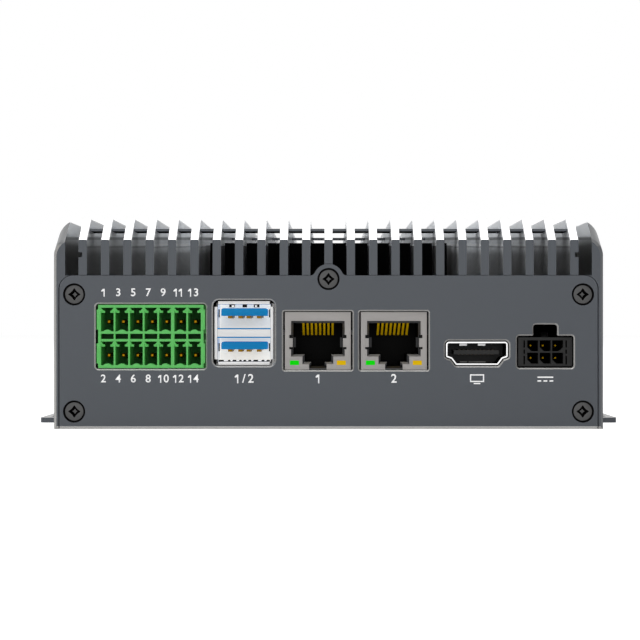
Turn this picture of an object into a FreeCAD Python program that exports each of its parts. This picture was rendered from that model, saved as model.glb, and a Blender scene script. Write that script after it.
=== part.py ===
import FreeCAD, Part
import math
import os

from FreeCAD import Vector

# A fanless industrial PC: a finned heat sink cover closed by two end panels and a bottom
# cover with mounting ears, round a main board, a compute module and the front connectors.
# Millimetres, +Z up, front face towards -Y. The origin is the centre of the underside.

# --- housing: the row of connectors along the front sets its width ----------------------
HOUSING_LENGTH = 110.0
HOUSING_HEIGHT = 51.0
SIDE_WALL = 2.8
TOP_CORNER_RADIUS = 5.5
END_CORNER_RADIUS = 4.2      # the same corner where it meets the end face
EDGE_BREAK = 0.7             # chamfer round both ends of the housing
SLOPE_RUN = 6.4              # how far the sloped ends reach in
SLOPE_DROP = 5.35            # and down, from the top to the upright end faces
DECK_TOP = 37.0              # floor of the slots between the fins
DECK_THICKNESS = 3.3

# --- fins ------------------------------------------------------------------------------
FIN_COUNT = 23
FIN_PITCH = 5.38
FIN_THICKNESS = 2.0
FIN_TIP_CHAMFER = 0.2
END_FIN_GROOVE_DEPTH = 0.6
END_FIN_GROOVE_HEIGHT = 1.2
END_FIN_GROOVE_RISE = 5.0    # middle of the groove above the deck
TIE_THICKNESS = 0.6          # thin bars that tie the fins together near their tips
TIE_DROP = 2.5               # below the fins' top
END_TIE_SETBACK = 4.0
END_TIE_DEPTH = 7.6
MIDDLE_TIE_SETBACK = 40.0
MIDDLE_TIE_DEPTH = 1.6
RAISED_CENTRE_WIDTH = 59.2   # thick spreader under the middle fins
RAISED_CENTRE_SETBACK = 14.0
RAISED_CENTRE_DROP = 5.4

# --- end panels ------------------------------------------------------------------------
PANEL_THICKNESS = 2.0
PANEL_SEAM = 0.22            # gap between a panel and the housing rim
PANEL_RIM = 1.2              # housing left outside the seam
PANEL_CORNER_RADIUS = 3.2
LOBE_RADIUS = 3.65           # ear of the panel round its top middle screw
LOBE_BLEND = 1.25
TOP_SCREW_LEVEL = 36.15
CORNER_SCREW_INSET = 3.55    # from the panel's side edge to the screw
UPPER_SCREW_DROP = 4.55      # from the panel's top edge to the screw
LOWER_SCREW_LEVEL = 4.25
CUTOUT_BREAK = 0.33          # bare chamfer round every cut-out

# --- countersunk screws ----------------------------------------------------------------
SCREW_DIAMETER = 2.5
SCREW_HEAD_DIAMETER = 4.8
COUNTERSINK_DIAMETER = 5.35
PANEL_SCREW_LENGTH = 8.0
COVER_SCREW_LENGTH = 5.5

# --- bottom cover ----------------------------------------------------------------------
COVER_THICKNESS = 1.3
COVER_GAP = 0.15
EAR_REACH = 8.0              # beyond the side of the housing
EAR_SETBACK = 24.0           # from either end of the housing
EAR_CORNER_RADIUS = 1.2
EAR_HOLE_DIAMETER = 4.3
EAR_HOLE_OFFSET = 4.0        # beyond the side of the housing
EAR_HOLE_INSET = 6.0         # from the ear's front or rear edge
COVER_SCREW_INSET = 5.6      # from the outside of the housing
COVER_SCREW_SETBACK = 14.0
BOSS_WIDTH = 5.5
LOWER_BOSS_HEIGHT = 5.9
LOWER_BOSS_LENGTH = 18.0
UPPER_BOSS_LENGTH = 10.0
UPPER_BOSS_DROP = 5.0          # below the screw's centre

# --- main board ------------------------------------------------------------------------
BOARD_TOP = 14.3
BOARD_THICKNESS = 1.6
BOARD_SIDE_GAP = 1.9
BOARD_END_GAP = 0.6
STANDOFF_WIDTH = 5.0
STANDOFF_SPIGOT_DIAMETER = 4.2
STANDOFF_INSET = 4.0         # from the board's side edge
STANDOFF_SETBACK = 24.0
BOARD_SCREW_HEAD_DIAMETER = 5.0
BOARD_SCREW_HEAD_HEIGHT = 1.7
BOARD_SCREW_REACH = 6.0
HEAD_CHAMFER = 0.4           # share of a round head's height

# --- compute module --------------------------------------------------------------------
MODULE_LENGTH = 45.0
MODULE_THICKNESS = 1.2
MODULE_RISE = 5.7            # its underside above the main board
MODULE_SETBACK = 42.0
MODULE_SOCKET_DEPTH = 8.0
MODULE_SOCKET_GRIP = 3.0
MODULE_SOCKET_OVERHANG = 1.6
MODULE_SOCKET_CAP = 1.3
MODULE_POST_DIAMETER = 4.6
MODULE_POST_INSET = 3.2
PROCESSOR_SIZE = 31.0
PROCESSOR_HEIGHT = 2.0
MEMORY_SIZE = (10.0, 12.0, 1.0)
MEMORY_INSET = 7.3           # from the module's side edge to a chip's middle
MEMORY_SPACING = 14.0
PAD_THICKNESS = 0.6
PEDESTAL_SIZE = 36.0

# --- storage card ----------------------------------------------------------------------
CARD_WIDTH = 22.0
CARD_LENGTH = 42.0
CARD_THICKNESS = 0.8
CARD_RISE = 3.7
CARD_BAY_GAP = 1.0           # from the inner side of its bay
CARD_SETBACK = 36.0
CARD_SOCKET_DEPTH = 6.5
CARD_SOCKET_GRIP = 2.5
CARD_SOCKET_HEIGHT = 5.7
CARD_SOCKET_OVERHANG = 0.6
CARD_POST_DIAMETER = 5.5
CARD_CHIP_SIZE = (13.0, 12.0, 1.1)
CARD_CHIP_SETBACK = 6.0      # from the card's front edge
CARD_CHIP_SPACING = 16.0
SMALL_SCREW_DIAMETER = 2.0
SMALL_HEAD_DIAMETER = 4.0
SMALL_HEAD_HEIGHT = 1.2

# --- other parts on the board ----------------------------------------------------------
CELL_DIAMETER = 20.0
CELL_HEIGHT = 3.2
CELL_WALL_GAP = 2.6
CELL_BAY_GAP = 0.8           # from the module's socket
CELL_SETBACK = 48.0
HOLDER_WALL = 1.8
HOLDER_FLOOR = 1.2
HOLDER_GAP = 6.6             # opening in the wall that frees the cell
INDUCTOR_SIZE = 9.5
INDUCTOR_HEIGHT = 4.5
INDUCTOR_SPACING = 14.0
INDUCTOR_SETBACK = 14.0      # from the rear of the housing
CAPACITOR_DIAMETER = 6.3
CAPACITOR_HEIGHT = 7.7
CAPACITOR_BASE = 6.8
CAPACITOR_BASE_HEIGHT = 1.0
CAPACITOR_WALL_GAP = 12.0
CAPACITOR_SETBACK = 68.0
CAPACITOR_SPACING = 8.5
CAPACITOR_COUNT = 3

# --- connectors ------------------------------------------------------------------------
FACE_SETBACK = 0.3           # connector faces behind the panel's face
PANEL_CLEARANCE = 0.4        # between a connector and its cut-out
ROW_LEFT_MARGIN = 7.9        # from the left side wall to the terminal block
STACK_GAP = 2.48             # left of each of the other connectors
FIRST_JACK_GAP = 2.61
SECOND_JACK_GAP = 2.41
VIDEO_GAP = 4.6
POWER_GAP = 2.5
ROW_RIGHT_MARGIN = 4.7

TERMINAL_WAYS = 7
TERMINAL_PITCH = 3.5
TERMINAL_END = 0.45          # plastic beyond the outer half pitches
TERMINAL_BOTTOM = 14.7
TERMINAL_DEPTH = 11.0
TERMINAL_ROW_PITCH = 8.15
TERMINAL_CELL_HEIGHT = 5.7
TERMINAL_FLOOR = 0.7
TERMINAL_BAR = 0.6
TERMINAL_WALL = 0.42
TERMINAL_KEY_WALL = 0.8      # the fifth partition is thicker
TERMINAL_KEY_INDEX = 5
TERMINAL_CELL_DEPTH = 8.0
TERMINAL_SLOT_DEPTH = 2.5
TOOTH_HEIGHT = 0.7
TOOTH_HALF_WIDTH = 0.75
LEDGE_HEIGHT = 0.55
LEDGE_HALF_WIDTH = 1.1
LEDGE_SETBACK = 0.5
LEDGE_DEPTH = 1.5
BUMP_HALF_WIDTH = 0.95
BUMP_HEIGHT = 0.42
TERMINAL_RIB = 0.35
TERMINAL_RIB_MARGIN = 0.45
TERMINAL_CUTOUT_CORNER = 0.7
TERMINAL_PIN_SIZE = 1.0
TERMINAL_PIN_LEVEL = 2.35    # above the cell's floor
TERMINAL_PIN_SETBACK = 3.2
PIN_TIP = 0.5

STACK_WIDTH = 14.5
STACK_BOTTOM = 15.4
STACK_HEIGHT = 15.5
STACK_DEPTH = 17.5
STACK_CORNER = 1.4
STACK_LIP = 0.85
STACK_LIP_DEPTH = 0.5
STACK_LIP_ENDS = 1.0
STACK_SIDE_LIP_ENDS = 1.45
STACK_SHEET = 0.35
STACK_DIVIDER = 1.8
STACK_STRIP = 0.3
STACK_CAVITY_DEPTH = 9.0
TONGUE_WIDTH = 11.1
TONGUE_THICKNESS = 1.85
TONGUE_DROP = 0.9            # below the top of its opening
TONGUE_SETBACK = 1.2
TONGUE_CORNER = 0.5
STACK_CONTACT_OFFSETS = (-3.5, -1.0, 1.0, 3.5)
STACK_CONTACT_WIDTH = 1.0
STACK_CONTACT_THICKNESS = 0.6
STACK_CONTACT_SETBACK = 2.0

JACK_WIDTH = 15.9
JACK_HEIGHT = 13.9
JACK_DEPTH = 21.0
JACK_SHEET = 0.35
JACK_OPENING_WIDTH = 12.9
JACK_OPENING_FLOOR = 3.2     # above the board
JACK_OPENING_TOP = 11.75
JACK_STEP_WIDTH = 7.4
JACK_STEP_FLOOR = 1.35
JACK_NOTCH_WIDTH = 4.2
JACK_BEVEL = 0.5
JACK_CAVITY_DEPTH = 14.0
JACK_CONTACTS = 8
JACK_CONTACT_PITCH = 1.02
JACK_CONTACT_WIDTH = 0.5
JACK_CONTACT_THICKNESS = 0.35
JACK_CONTACT_START = 4.0
JACK_CONTACT_END = 11.0
JACK_CONTACT_FALL = 2.6
JACK_SPRING_FLOOR = 5.2
JACK_SPRING_TOP = 8.0
JACK_SPRING_REACH = 0.4       # into the opening
JACK_SPRING_NOTCH = 0.45
LIGHT_WIDTH = 2.15
LIGHT_HEIGHT = 1.05
LIGHT_OFFSET = 5.65
LIGHT_FLOOR = 1.15
LIGHT_DEPTH = 3.0

VIDEO_WIDTH = 14.9
VIDEO_BOTTOM = 15.44
VIDEO_HEIGHT = 5.62
VIDEO_SHOULDER = 2.06        # height at which the sides turn in
VIDEO_HIP_INSET = 1.25
VIDEO_HIP_DROP = 0.55
VIDEO_BOTTOM_WIDTH = 10.1
VIDEO_CORNER = 0.75
VIDEO_SHEET = 0.38
VIDEO_DEPTH = 11.0
VIDEO_CAVITY_DEPTH = 7.5
VIDEO_TONGUE_WIDTH = 10.9
VIDEO_TONGUE_THICKNESS = 1.0
VIDEO_TONGUE_LEVEL = 2.55
VIDEO_TONGUE_SETBACK = 1.5
VIDEO_FINGER_OFFSETS = (-3.25, 1.2)
VIDEO_FINGER_WIDTH = 1.8
VIDEO_FINGER_HEIGHT = 0.6
VIDEO_FINGER_SETBACK = 1.0
VIDEO_FINGER_LENGTH = 2.0
VIDEO_CONTACTS = 9
VIDEO_CONTACT_PITCH = 1.0
VIDEO_CONTACT_WIDTH = 0.4
VIDEO_CONTACT_THICKNESS = 0.12
VIDEO_CONTACT_SETBACK = 1.9

POWER_WIDTH = 13.0
POWER_BOTTOM = 15.15
POWER_HEIGHT = 6.95
POWER_DEPTH = 12.5
POWER_PITCH = 3.0
POWER_CELL = 2.65
POWER_CELL_CHAMFER = 1.0
POWER_CELL_DEPTH = 8.0
POWER_CELL_FLOOR = 0.6
POWER_PIN_SIZE = 0.64
POWER_PIN_SETBACK = 4.2
POWER_TAB_WIDTH = 5.75
POWER_TAB_HEIGHT = 2.7
POWER_CUTOUT_CORNER = 0.65
POWER_LATCH_WIDTH = 1.6
POWER_LATCH_HEIGHT = 1.3
POWER_LATCH_DEPTH = 2.4
POWER_LATCH_SETBACK = 0.6
POWER_LATCH_ROOT = 0.5
POWER_GROOVE_WIDTH = 0.35
POWER_GROOVE_INSET = 1.45
POWER_GROOVE_DEPTH = 1.5
POWER_GROOVE_SPANS = ((0.4, 2.5), (3.0, 4.0), (4.5, 6.2))

# --- places worked out from the sizes above ---------------------------------------------
TERMINAL_WIDTH = TERMINAL_WAYS * TERMINAL_PITCH + 2 * TERMINAL_END
CONNECTOR_ROW = (
    (ROW_LEFT_MARGIN, TERMINAL_WIDTH),
    (STACK_GAP, STACK_WIDTH),
    (FIRST_JACK_GAP, JACK_WIDTH),
    (SECOND_JACK_GAP, JACK_WIDTH),
    (VIDEO_GAP, VIDEO_WIDTH),
    (POWER_GAP, POWER_WIDTH),
)
INNER_HALF = (sum(gap + width for gap, width in CONNECTOR_ROW) + ROW_RIGHT_MARGIN) / 2
HALF_WIDTH = INNER_HALF + SIDE_WALL


def row_places():
    """Middle of each connector along the front."""
    end = -INNER_HALF
    for gap, width in CONNECTOR_ROW:
        yield end + gap + width / 2
        end += gap + width


TERMINAL_X, STACK_X, FIRST_JACK_X, SECOND_JACK_X, VIDEO_X, POWER_X = row_places()
JACK_XS = (FIRST_JACK_X, SECOND_JACK_X)
FRONT = -HOUSING_LENGTH / 2
END_FACE_HEIGHT = HOUSING_HEIGHT - SLOPE_DROP
TIE_TOP = HOUSING_HEIGHT - TIE_DROP
RAISED_CENTRE_TOP = HOUSING_HEIGHT - RAISED_CENTRE_DROP
END_FIN_GROOVE_LEVEL = DECK_TOP + END_FIN_GROOVE_RISE
CEILING = DECK_TOP - DECK_THICKNESS
REBATE_HALF = HALF_WIDTH - PANEL_RIM
PANEL_HALF = REBATE_HALF - PANEL_SEAM
PANEL_TOP = DECK_TOP
CORNER_SCREW_X = PANEL_HALF - CORNER_SCREW_INSET
UPPER_SCREW_LEVEL = PANEL_TOP - UPPER_SCREW_DROP
COVER_HALF = REBATE_HALF - COVER_GAP
COVER_SCREW_X = HALF_WIDTH - COVER_SCREW_INSET
EAR_HALF = HALF_WIDTH + EAR_REACH
EAR_HOLE_X = HALF_WIDTH + EAR_HOLE_OFFSET
EAR_HOLE_Y = HOUSING_LENGTH / 2 - EAR_SETBACK - EAR_HOLE_INSET
BOARD_BOTTOM = BOARD_TOP - BOARD_THICKNESS
BOARD_HALF = INNER_HALF - BOARD_SIDE_GAP
STANDOFF_X = BOARD_HALF - STANDOFF_INSET
SIDE_BAY = CELL_WALL_GAP + 2 * HOLDER_WALL + CELL_DIAMETER + CELL_BAY_GAP
MODULE_WIDTH = 2 * (INNER_HALF - SIDE_BAY - MODULE_SOCKET_OVERHANG)
MEMORY_X = MODULE_WIDTH / 2 - MEMORY_INSET
MODULE_BOTTOM = BOARD_TOP + MODULE_RISE
MODULE_TOP = MODULE_BOTTOM + MODULE_THICKNESS
MODULE_CENTRE = MODULE_SETBACK + MODULE_LENGTH / 2
PROCESSOR_CENTRE = MODULE_CENTRE + MODULE_SOCKET_GRIP
PROCESSOR_TOP = MODULE_TOP + PROCESSOR_HEIGHT
PEDESTAL_BOTTOM = PROCESSOR_TOP + PAD_THICKNESS
CARD_BOTTOM = BOARD_TOP + CARD_RISE
CARD_TOP = CARD_BOTTOM + CARD_THICKNESS
CARD_X = INNER_HALF - SIDE_BAY + CARD_BAY_GAP + CARD_SOCKET_OVERHANG + CARD_WIDTH / 2
CARD_END = CARD_SETBACK + CARD_LENGTH
CELL_X = CELL_WALL_GAP + HOLDER_WALL + CELL_DIAMETER / 2 - INNER_HALF
CAPACITOR_X = CAPACITOR_WALL_GAP + CAPACITOR_BASE / 2 - INNER_HALF
BEHIND_PANEL = PANEL_THICKNESS + 0.2
MARGIN = 1.0                 # how far a cutting tool runs past a face


# --- helpers ---------------------------------------------------------------------------
def box(x0, x1, depth0, depth1, z0, z1):
    """Block between two X, two depths behind the front face and two heights."""
    corner = Vector(x0, FRONT + depth0, z0)
    return Part.makeBox(x1 - x0, depth1 - depth0, z1 - z0, corner)


def centred_box(x, width, depth0, depth1, z0, z1):
    return box(x - width / 2, x + width / 2, depth0, depth1, z0, z1)


def post(x, depth, z0, z1, diameter):
    """Upright cylinder."""
    return Part.makeCylinder(diameter / 2, z1 - z0, Vector(x, FRONT + depth, z0))


def fuse(shapes):
    return shapes[0].fuse(shapes[1:]).removeSplitter()


def mirror_x(shape):
    return shape.mirror(Vector(0, 0, 0), Vector(1, 0, 0))


def mirror_y(shape):
    return shape.mirror(Vector(0, 0, 0), Vector(0, 1, 0))


def both_sides(shape):
    return [shape, mirror_x(shape)]


def turn_of(before, corner, after):
    """Positive where a loop turns left at this corner."""
    ax, az = corner[0] - before[0], corner[1] - before[1]
    bx, bz = after[0] - corner[0], after[1] - corner[1]
    return ax * bz - az * bx


def grow(corners, margin):
    """Loop of (x, z, radius) corners, listed anticlockwise, moved outwards by a margin."""
    grown = []
    count = len(corners)
    for index, (x, z, radius) in enumerate(corners):
        before, after = corners[index - 1], corners[(index + 1) % count]
        into = Vector(x - before[0], 0, z - before[1]).normalize()
        out = Vector(after[0] - x, 0, after[1] - z).normalize()
        normal_in, normal_out = Vector(into.z, 0, -into.x), Vector(out.z, 0, -out.x)
        bisector = normal_in + normal_out
        shift = bisector * (margin / (1 + normal_in.dot(normal_out)))
        outward = turn_of(before, (x, z), after) > 0
        change = margin if outward else -margin
        new_radius = max(radius + change, 0.05) if radius else 0
        grown.append((x + shift.x, z + shift.z, new_radius))
    return grown


def loop(corners, depth):
    """Closed wire in an upright plane, with each (x, z, radius) corner rounded."""
    y = FRONT + depth
    count = len(corners)
    edges = []
    starts, ends, middles = [], [], []
    for index, (x, z, radius) in enumerate(corners):
        corner = Vector(x, y, z)
        before, after = corners[index - 1], corners[(index + 1) % count]
        back = (Vector(before[0], y, before[1]) - corner).normalize()
        ahead = (Vector(after[0], y, after[1]) - corner).normalize()
        half = back.getAngle(ahead) / 2
        reach = radius / math.tan(half) if radius else 0
        starts.append(corner + back * reach)
        ends.append(corner + ahead * reach)
        bisector = (back + ahead).normalize()
        middles.append(corner + bisector * (radius / math.sin(half) - radius))
    for index, (x, z, radius) in enumerate(corners):
        if radius:
            edges.append(Part.Arc(starts[index], middles[index], ends[index]).toShape())
        following = starts[(index + 1) % count]
        if (following - ends[index]).Length > 1e-6:
            edges.append(Part.makeLine(ends[index], following))
    return Part.Wire(edges)


def prism(corners, depth0, depth1):
    """Solid with a loop's outline between two depths."""
    face = Part.Face(loop(corners, depth0))
    return face.extrude(Vector(0, depth1 - depth0, 0))


def side_prism(x0, x1, points):
    """Solid with a side outline of (depth, z) points between two X."""
    corners = [Vector(x0, FRONT + depth, z) for depth, z in points]
    face = Part.Face(Part.makePolygon(corners + corners[:1]))
    return face.extrude(Vector(x1 - x0, 0, 0))


def rectangle(x, width, z0, z1, radius=0):
    left, right = x - width / 2, x + width / 2
    return [(left, z0, radius), (right, z0, radius), (right, z1, radius), (left, z1, radius)]


def hexagon_post(x, depth, z0, z1, width):
    radius = width / math.sqrt(3)
    centre = Vector(x, FRONT + depth, z0)
    points = []
    for step in range(7):
        angle = math.radians(60 * step)
        points.append(centre + Vector(math.cos(angle), math.sin(angle), 0) * radius)
    return Part.Face(Part.makePolygon(points)).extrude(Vector(0, 0, z1 - z0))


# --- housing ---------------------------------------------------------------------------
def housing_section(depth, half_width, bottom, top, radius):
    """Outline of the housing across its width: square feet and round shoulders."""
    corners = [(-half_width, bottom, 0), (half_width, bottom, 0)]
    corners += [(half_width, top, radius), (-half_width, top, radius)]
    return loop(corners, depth)


def housing_block():
    """The housing's outer form, with a chamfer and a slope at either end."""
    rise = (HOUSING_HEIGHT - END_FACE_HEIGHT) / SLOPE_RUN
    break_top = END_FACE_HEIGHT + rise * EDGE_BREAK
    radius_growth = (TOP_CORNER_RADIUS - END_CORNER_RADIUS) / SLOPE_RUN
    break_radius = END_CORNER_RADIUS + radius_growth * EDGE_BREAK
    stations = [
        (0, HALF_WIDTH - EDGE_BREAK, EDGE_BREAK, END_FACE_HEIGHT, END_CORNER_RADIUS),
        (EDGE_BREAK, HALF_WIDTH, 0, break_top, break_radius),
        (SLOPE_RUN, HALF_WIDTH, 0, HOUSING_HEIGHT, TOP_CORNER_RADIUS),
    ]
    sections = [housing_section(*station) for station in stations]
    for depth, half_width, bottom, top, radius in reversed(stations):
        sections.append(housing_section(HOUSING_LENGTH - depth, half_width, bottom, top, radius))
    return Part.makeLoft(sections, True, True)


def fin_x(index):
    return (index - (FIN_COUNT - 1) / 2) * FIN_PITCH


def fin(x):
    """One fin: sloped at both ends, with its edges broken along its top."""
    root = DECK_TOP - DECK_THICKNESS / 2
    outline = [
        (0, root),
        (0, END_FACE_HEIGHT),
        (SLOPE_RUN, HOUSING_HEIGHT),
        (HOUSING_LENGTH - SLOPE_RUN, HOUSING_HEIGHT),
        (HOUSING_LENGTH, END_FACE_HEIGHT),
        (HOUSING_LENGTH, root),
    ]
    blank = side_prism(x - FIN_THICKNESS / 2, x + FIN_THICKNESS / 2, outline)
    tips = []
    for edge in blank.Edges:
        lowest = min(vertex.Z for vertex in edge.Vertexes)
        level_run = abs(edge.Vertexes[0].Y - edge.Vertexes[1].Y)
        if lowest > root + DECK_THICKNESS and level_run > SLOPE_RUN / 2:
            tips.append(edge)
    return blank.makeChamfer(FIN_TIP_CHAMFER, tips)


def fin_ties():
    """Thin bars across the fins, one near each end and two further in."""
    reach = fin_x(FIN_COUNT - 1)
    spans = [
        (END_TIE_SETBACK, END_TIE_DEPTH),
        (MIDDLE_TIE_SETBACK, MIDDLE_TIE_DEPTH),
    ]
    bars = []
    for setback, depth in spans:
        bar = box(-reach, reach, setback, setback + depth, TIE_TOP - TIE_THICKNESS, TIE_TOP)
        bars += [bar, mirror_y(bar)]
    return bars


def panel_corners(margin, bottom):
    """Corners of the end panel's plain outline, grown by a margin."""
    half, top = PANEL_HALF + margin, PANEL_TOP + margin / 2
    radius = PANEL_CORNER_RADIUS + margin
    return [(-half, bottom, 0), (half, bottom, 0), (half, top, radius), (-half, top, radius)]


def panel_blank(margin, bottom, depth0, depth1):
    """End panel with the lobe that holds its top middle screw."""
    plate = prism(panel_corners(margin, bottom), depth0, depth1)
    radius = LOBE_RADIUS + margin / 2
    blend = LOBE_BLEND - margin / 2
    top = PANEL_TOP + margin / 2
    rise = top - TOP_SCREW_LEVEL
    foot = math.sqrt((radius + blend) ** 2 - (rise + blend) ** 2)
    touch = radius / (radius + blend)
    touch_x, touch_z = foot * touch, TOP_SCREW_LEVEL + (rise + blend) * touch
    y = FRONT + depth0
    touch_angle = math.atan2(touch_z - top - blend, touch_x - foot)
    middle_angle = (touch_angle - math.pi / 2) / 2

    def blend_point(side):
        away = Vector(math.cos(middle_angle) * blend, 0, math.sin(middle_angle) * blend)
        return Vector(side * (foot + away.x), y, top + blend + away.z)

    centre_top = Vector(0, y, TOP_SCREW_LEVEL + radius)
    feet = [Vector(side * foot, y, top) for side in (-1, 1)]
    touches = [Vector(side * touch_x, y, touch_z) for side in (-1, 1)]
    edges = [
        Part.Arc(feet[1], blend_point(1), touches[1]).toShape(),
        Part.Arc(touches[1], centre_top, touches[0]).toShape(),
        Part.Arc(touches[0], blend_point(-1), feet[0]).toShape(),
        Part.makeLine(feet[0], Vector(-foot, y, TOP_SCREW_LEVEL)),
        Part.makeLine(Vector(-foot, y, TOP_SCREW_LEVEL), Vector(foot, y, TOP_SCREW_LEVEL)),
        Part.makeLine(Vector(foot, y, TOP_SCREW_LEVEL), feet[1]),
    ]
    lobe = Part.Face(Part.Wire(edges)).extrude(Vector(0, depth1 - depth0, 0))
    return fuse([plate, lobe])


def panel_screw_places():
    levels = (LOWER_SCREW_LEVEL, UPPER_SCREW_LEVEL)
    corners = [(side * CORNER_SCREW_X, level) for side in (-1, 1) for level in levels]
    return corners + [(0, TOP_SCREW_LEVEL)]


def front_bosses():
    """Material behind the front panel that its screws and the cover's screws bite into."""
    lower = box(INNER_HALF - BOSS_WIDTH, INNER_HALF, PANEL_THICKNESS, LOWER_BOSS_LENGTH,
                COVER_THICKNESS, COVER_THICKNESS + LOWER_BOSS_HEIGHT)
    upper = box(INNER_HALF - BOSS_WIDTH, INNER_HALF, PANEL_THICKNESS, UPPER_BOSS_LENGTH,
                UPPER_SCREW_LEVEL - UPPER_BOSS_DROP, CEILING)
    middle = Part.makeCylinder(LOBE_RADIUS, UPPER_BOSS_LENGTH - PANEL_THICKNESS,
                               Vector(0, FRONT + PANEL_THICKNESS, TOP_SCREW_LEVEL), Vector(0, 1, 0))
    return both_sides(lower) + both_sides(upper) + [middle]


def panel_screw_holes():
    holes = []
    for x, z in panel_screw_places():
        start = Vector(x, FRONT + PANEL_THICKNESS - MARGIN, z)
        holes.append(Part.makeCylinder(SCREW_DIAMETER / 2, PANEL_SCREW_LENGTH - PANEL_THICKNESS + MARGIN,
                                       start, Vector(0, 1, 0)))
    return holes


def cover_screw_places():
    return [(x, depth) for x in (-COVER_SCREW_X, COVER_SCREW_X)
            for depth in (COVER_SCREW_SETBACK, HOUSING_LENGTH - COVER_SCREW_SETBACK)]


def cover_screw_sinks():
    """Cone and bore for each screw that comes up through the bottom cover."""
    depth = (COUNTERSINK_DIAMETER - SCREW_DIAMETER) / 2
    sinks = []
    for x, setback in cover_screw_places():
        place = Vector(x, FRONT + setback, 0)
        sinks.append(Part.makeCone(COUNTERSINK_DIAMETER / 2, SCREW_DIAMETER / 2, depth, place))
        sinks.append(Part.makeCylinder(SCREW_DIAMETER / 2, COVER_SCREW_LENGTH, place))
    return sinks


def heatsink_cover():
    """One casting: side walls, deck, fins, ties, raised centre, pedestal and screw bosses."""
    shell = housing_block()
    channel = box(-INNER_HALF, INNER_HALF, -MARGIN, HOUSING_LENGTH + MARGIN, -MARGIN, CEILING)
    above_deck = box(-INNER_HALF, INNER_HALF, -MARGIN, HOUSING_LENGTH + MARGIN,
                     DECK_TOP, HOUSING_HEIGHT + MARGIN)
    shell = shell.cut([channel, above_deck])

    additions = [fin(fin_x(index)) for index in range(FIN_COUNT)]
    additions += fin_ties()
    additions.append(centred_box(0, RAISED_CENTRE_WIDTH, RAISED_CENTRE_SETBACK,
                                 HOUSING_LENGTH - RAISED_CENTRE_SETBACK,
                                 CEILING + DECK_THICKNESS / 2, RAISED_CENTRE_TOP))
    additions.append(centred_box(0, PEDESTAL_SIZE, PROCESSOR_CENTRE - PEDESTAL_SIZE / 2,
                                 PROCESSOR_CENTRE + PEDESTAL_SIZE / 2,
                                 PEDESTAL_BOTTOM, CEILING + DECK_THICKNESS / 2))
    bosses = front_bosses()
    additions += bosses + [mirror_y(boss) for boss in bosses]
    casting = fuse([shell] + additions)

    rebate = panel_blank(PANEL_SEAM, -MARGIN, -MARGIN, PANEL_THICKNESS)
    cuts = [rebate, mirror_y(rebate)]
    holes = panel_screw_holes()
    cuts += holes + [mirror_y(hole) for hole in holes]
    cuts.append(box(-REBATE_HALF, REBATE_HALF, 0, HOUSING_LENGTH, -MARGIN, COVER_THICKNESS))
    cuts.append(box(-EAR_HALF, EAR_HALF, EAR_SETBACK - COVER_GAP,
                    HOUSING_LENGTH - EAR_SETBACK + COVER_GAP, -MARGIN, COVER_THICKNESS))
    cuts += cover_screw_sinks()
    groove_x = fin_x(FIN_COUNT - 1) + FIN_THICKNESS / 2
    groove = box(groove_x - END_FIN_GROOVE_DEPTH, groove_x + MARGIN, -MARGIN, HOUSING_LENGTH + MARGIN,
                 END_FIN_GROOVE_LEVEL - END_FIN_GROOVE_HEIGHT / 2,
                 END_FIN_GROOVE_LEVEL + END_FIN_GROOVE_HEIGHT / 2)
    cuts += both_sides(groove)
    return casting.cut(cuts)


# --- end panels and their screws ---------------------------------------------------------
def countersink(x, z):
    """Cone and bore for one countersunk screw through the front panel."""
    depth = (COUNTERSINK_DIAMETER - SCREW_DIAMETER) / 2
    start = Vector(x, FRONT, z)
    cone = Part.makeCone(COUNTERSINK_DIAMETER / 2, SCREW_DIAMETER / 2, depth, start, Vector(0, 1, 0))
    bore = Part.makeCylinder(SCREW_DIAMETER / 2, PANEL_THICKNESS + MARGIN, start, Vector(0, 1, 0))
    return [cone, bore]


def plain_panel():
    """Panel with its lobe, the chamfer along its foot and the five screw holes."""
    panel = panel_blank(0, 0, 0, PANEL_THICKNESS)
    foot = side_prism(-HALF_WIDTH, HALF_WIDTH,
                      [(-MARGIN, -MARGIN), (EDGE_BREAK, -MARGIN), (EDGE_BREAK, 0), (0, EDGE_BREAK),
                       (-MARGIN, EDGE_BREAK)])
    cuts = [foot]
    for x, z in panel_screw_places():
        cuts += countersink(x, z)
    return panel.cut(cuts)


def cutout_tools(corners):
    """Through cut with a chamfered front edge for one connector."""
    through = prism(corners, -MARGIN, PANEL_THICKNESS + MARGIN)
    outer = loop(grow(corners, CUTOUT_BREAK), 0)
    inner = loop(corners, CUTOUT_BREAK)
    return [through, Part.makeLoft([outer, inner], True, True)]


def terminal_cutout():
    width = TERMINAL_WIDTH + TERMINAL_RIB + 2 * PANEL_CLEARANCE
    bottom = TERMINAL_BOTTOM - PANEL_CLEARANCE / 2
    top = terminal_top() + PANEL_CLEARANCE / 2
    return rectangle(TERMINAL_X, width, bottom, top, TERMINAL_CUTOUT_CORNER)


def stack_cutout():
    width = STACK_WIDTH + PANEL_CLEARANCE
    bottom = STACK_BOTTOM - PANEL_CLEARANCE / 2
    top = STACK_BOTTOM + STACK_HEIGHT + PANEL_CLEARANCE / 2
    return rectangle(STACK_X, width, bottom, top, STACK_CORNER)


def jack_cutout(x):
    width = JACK_WIDTH + 2 * PANEL_CLEARANCE
    top = BOARD_TOP + JACK_HEIGHT + PANEL_CLEARANCE / 2
    return rectangle(x, width, BOARD_TOP - PANEL_CLEARANCE / 4, top, PANEL_CLEARANCE)


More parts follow.
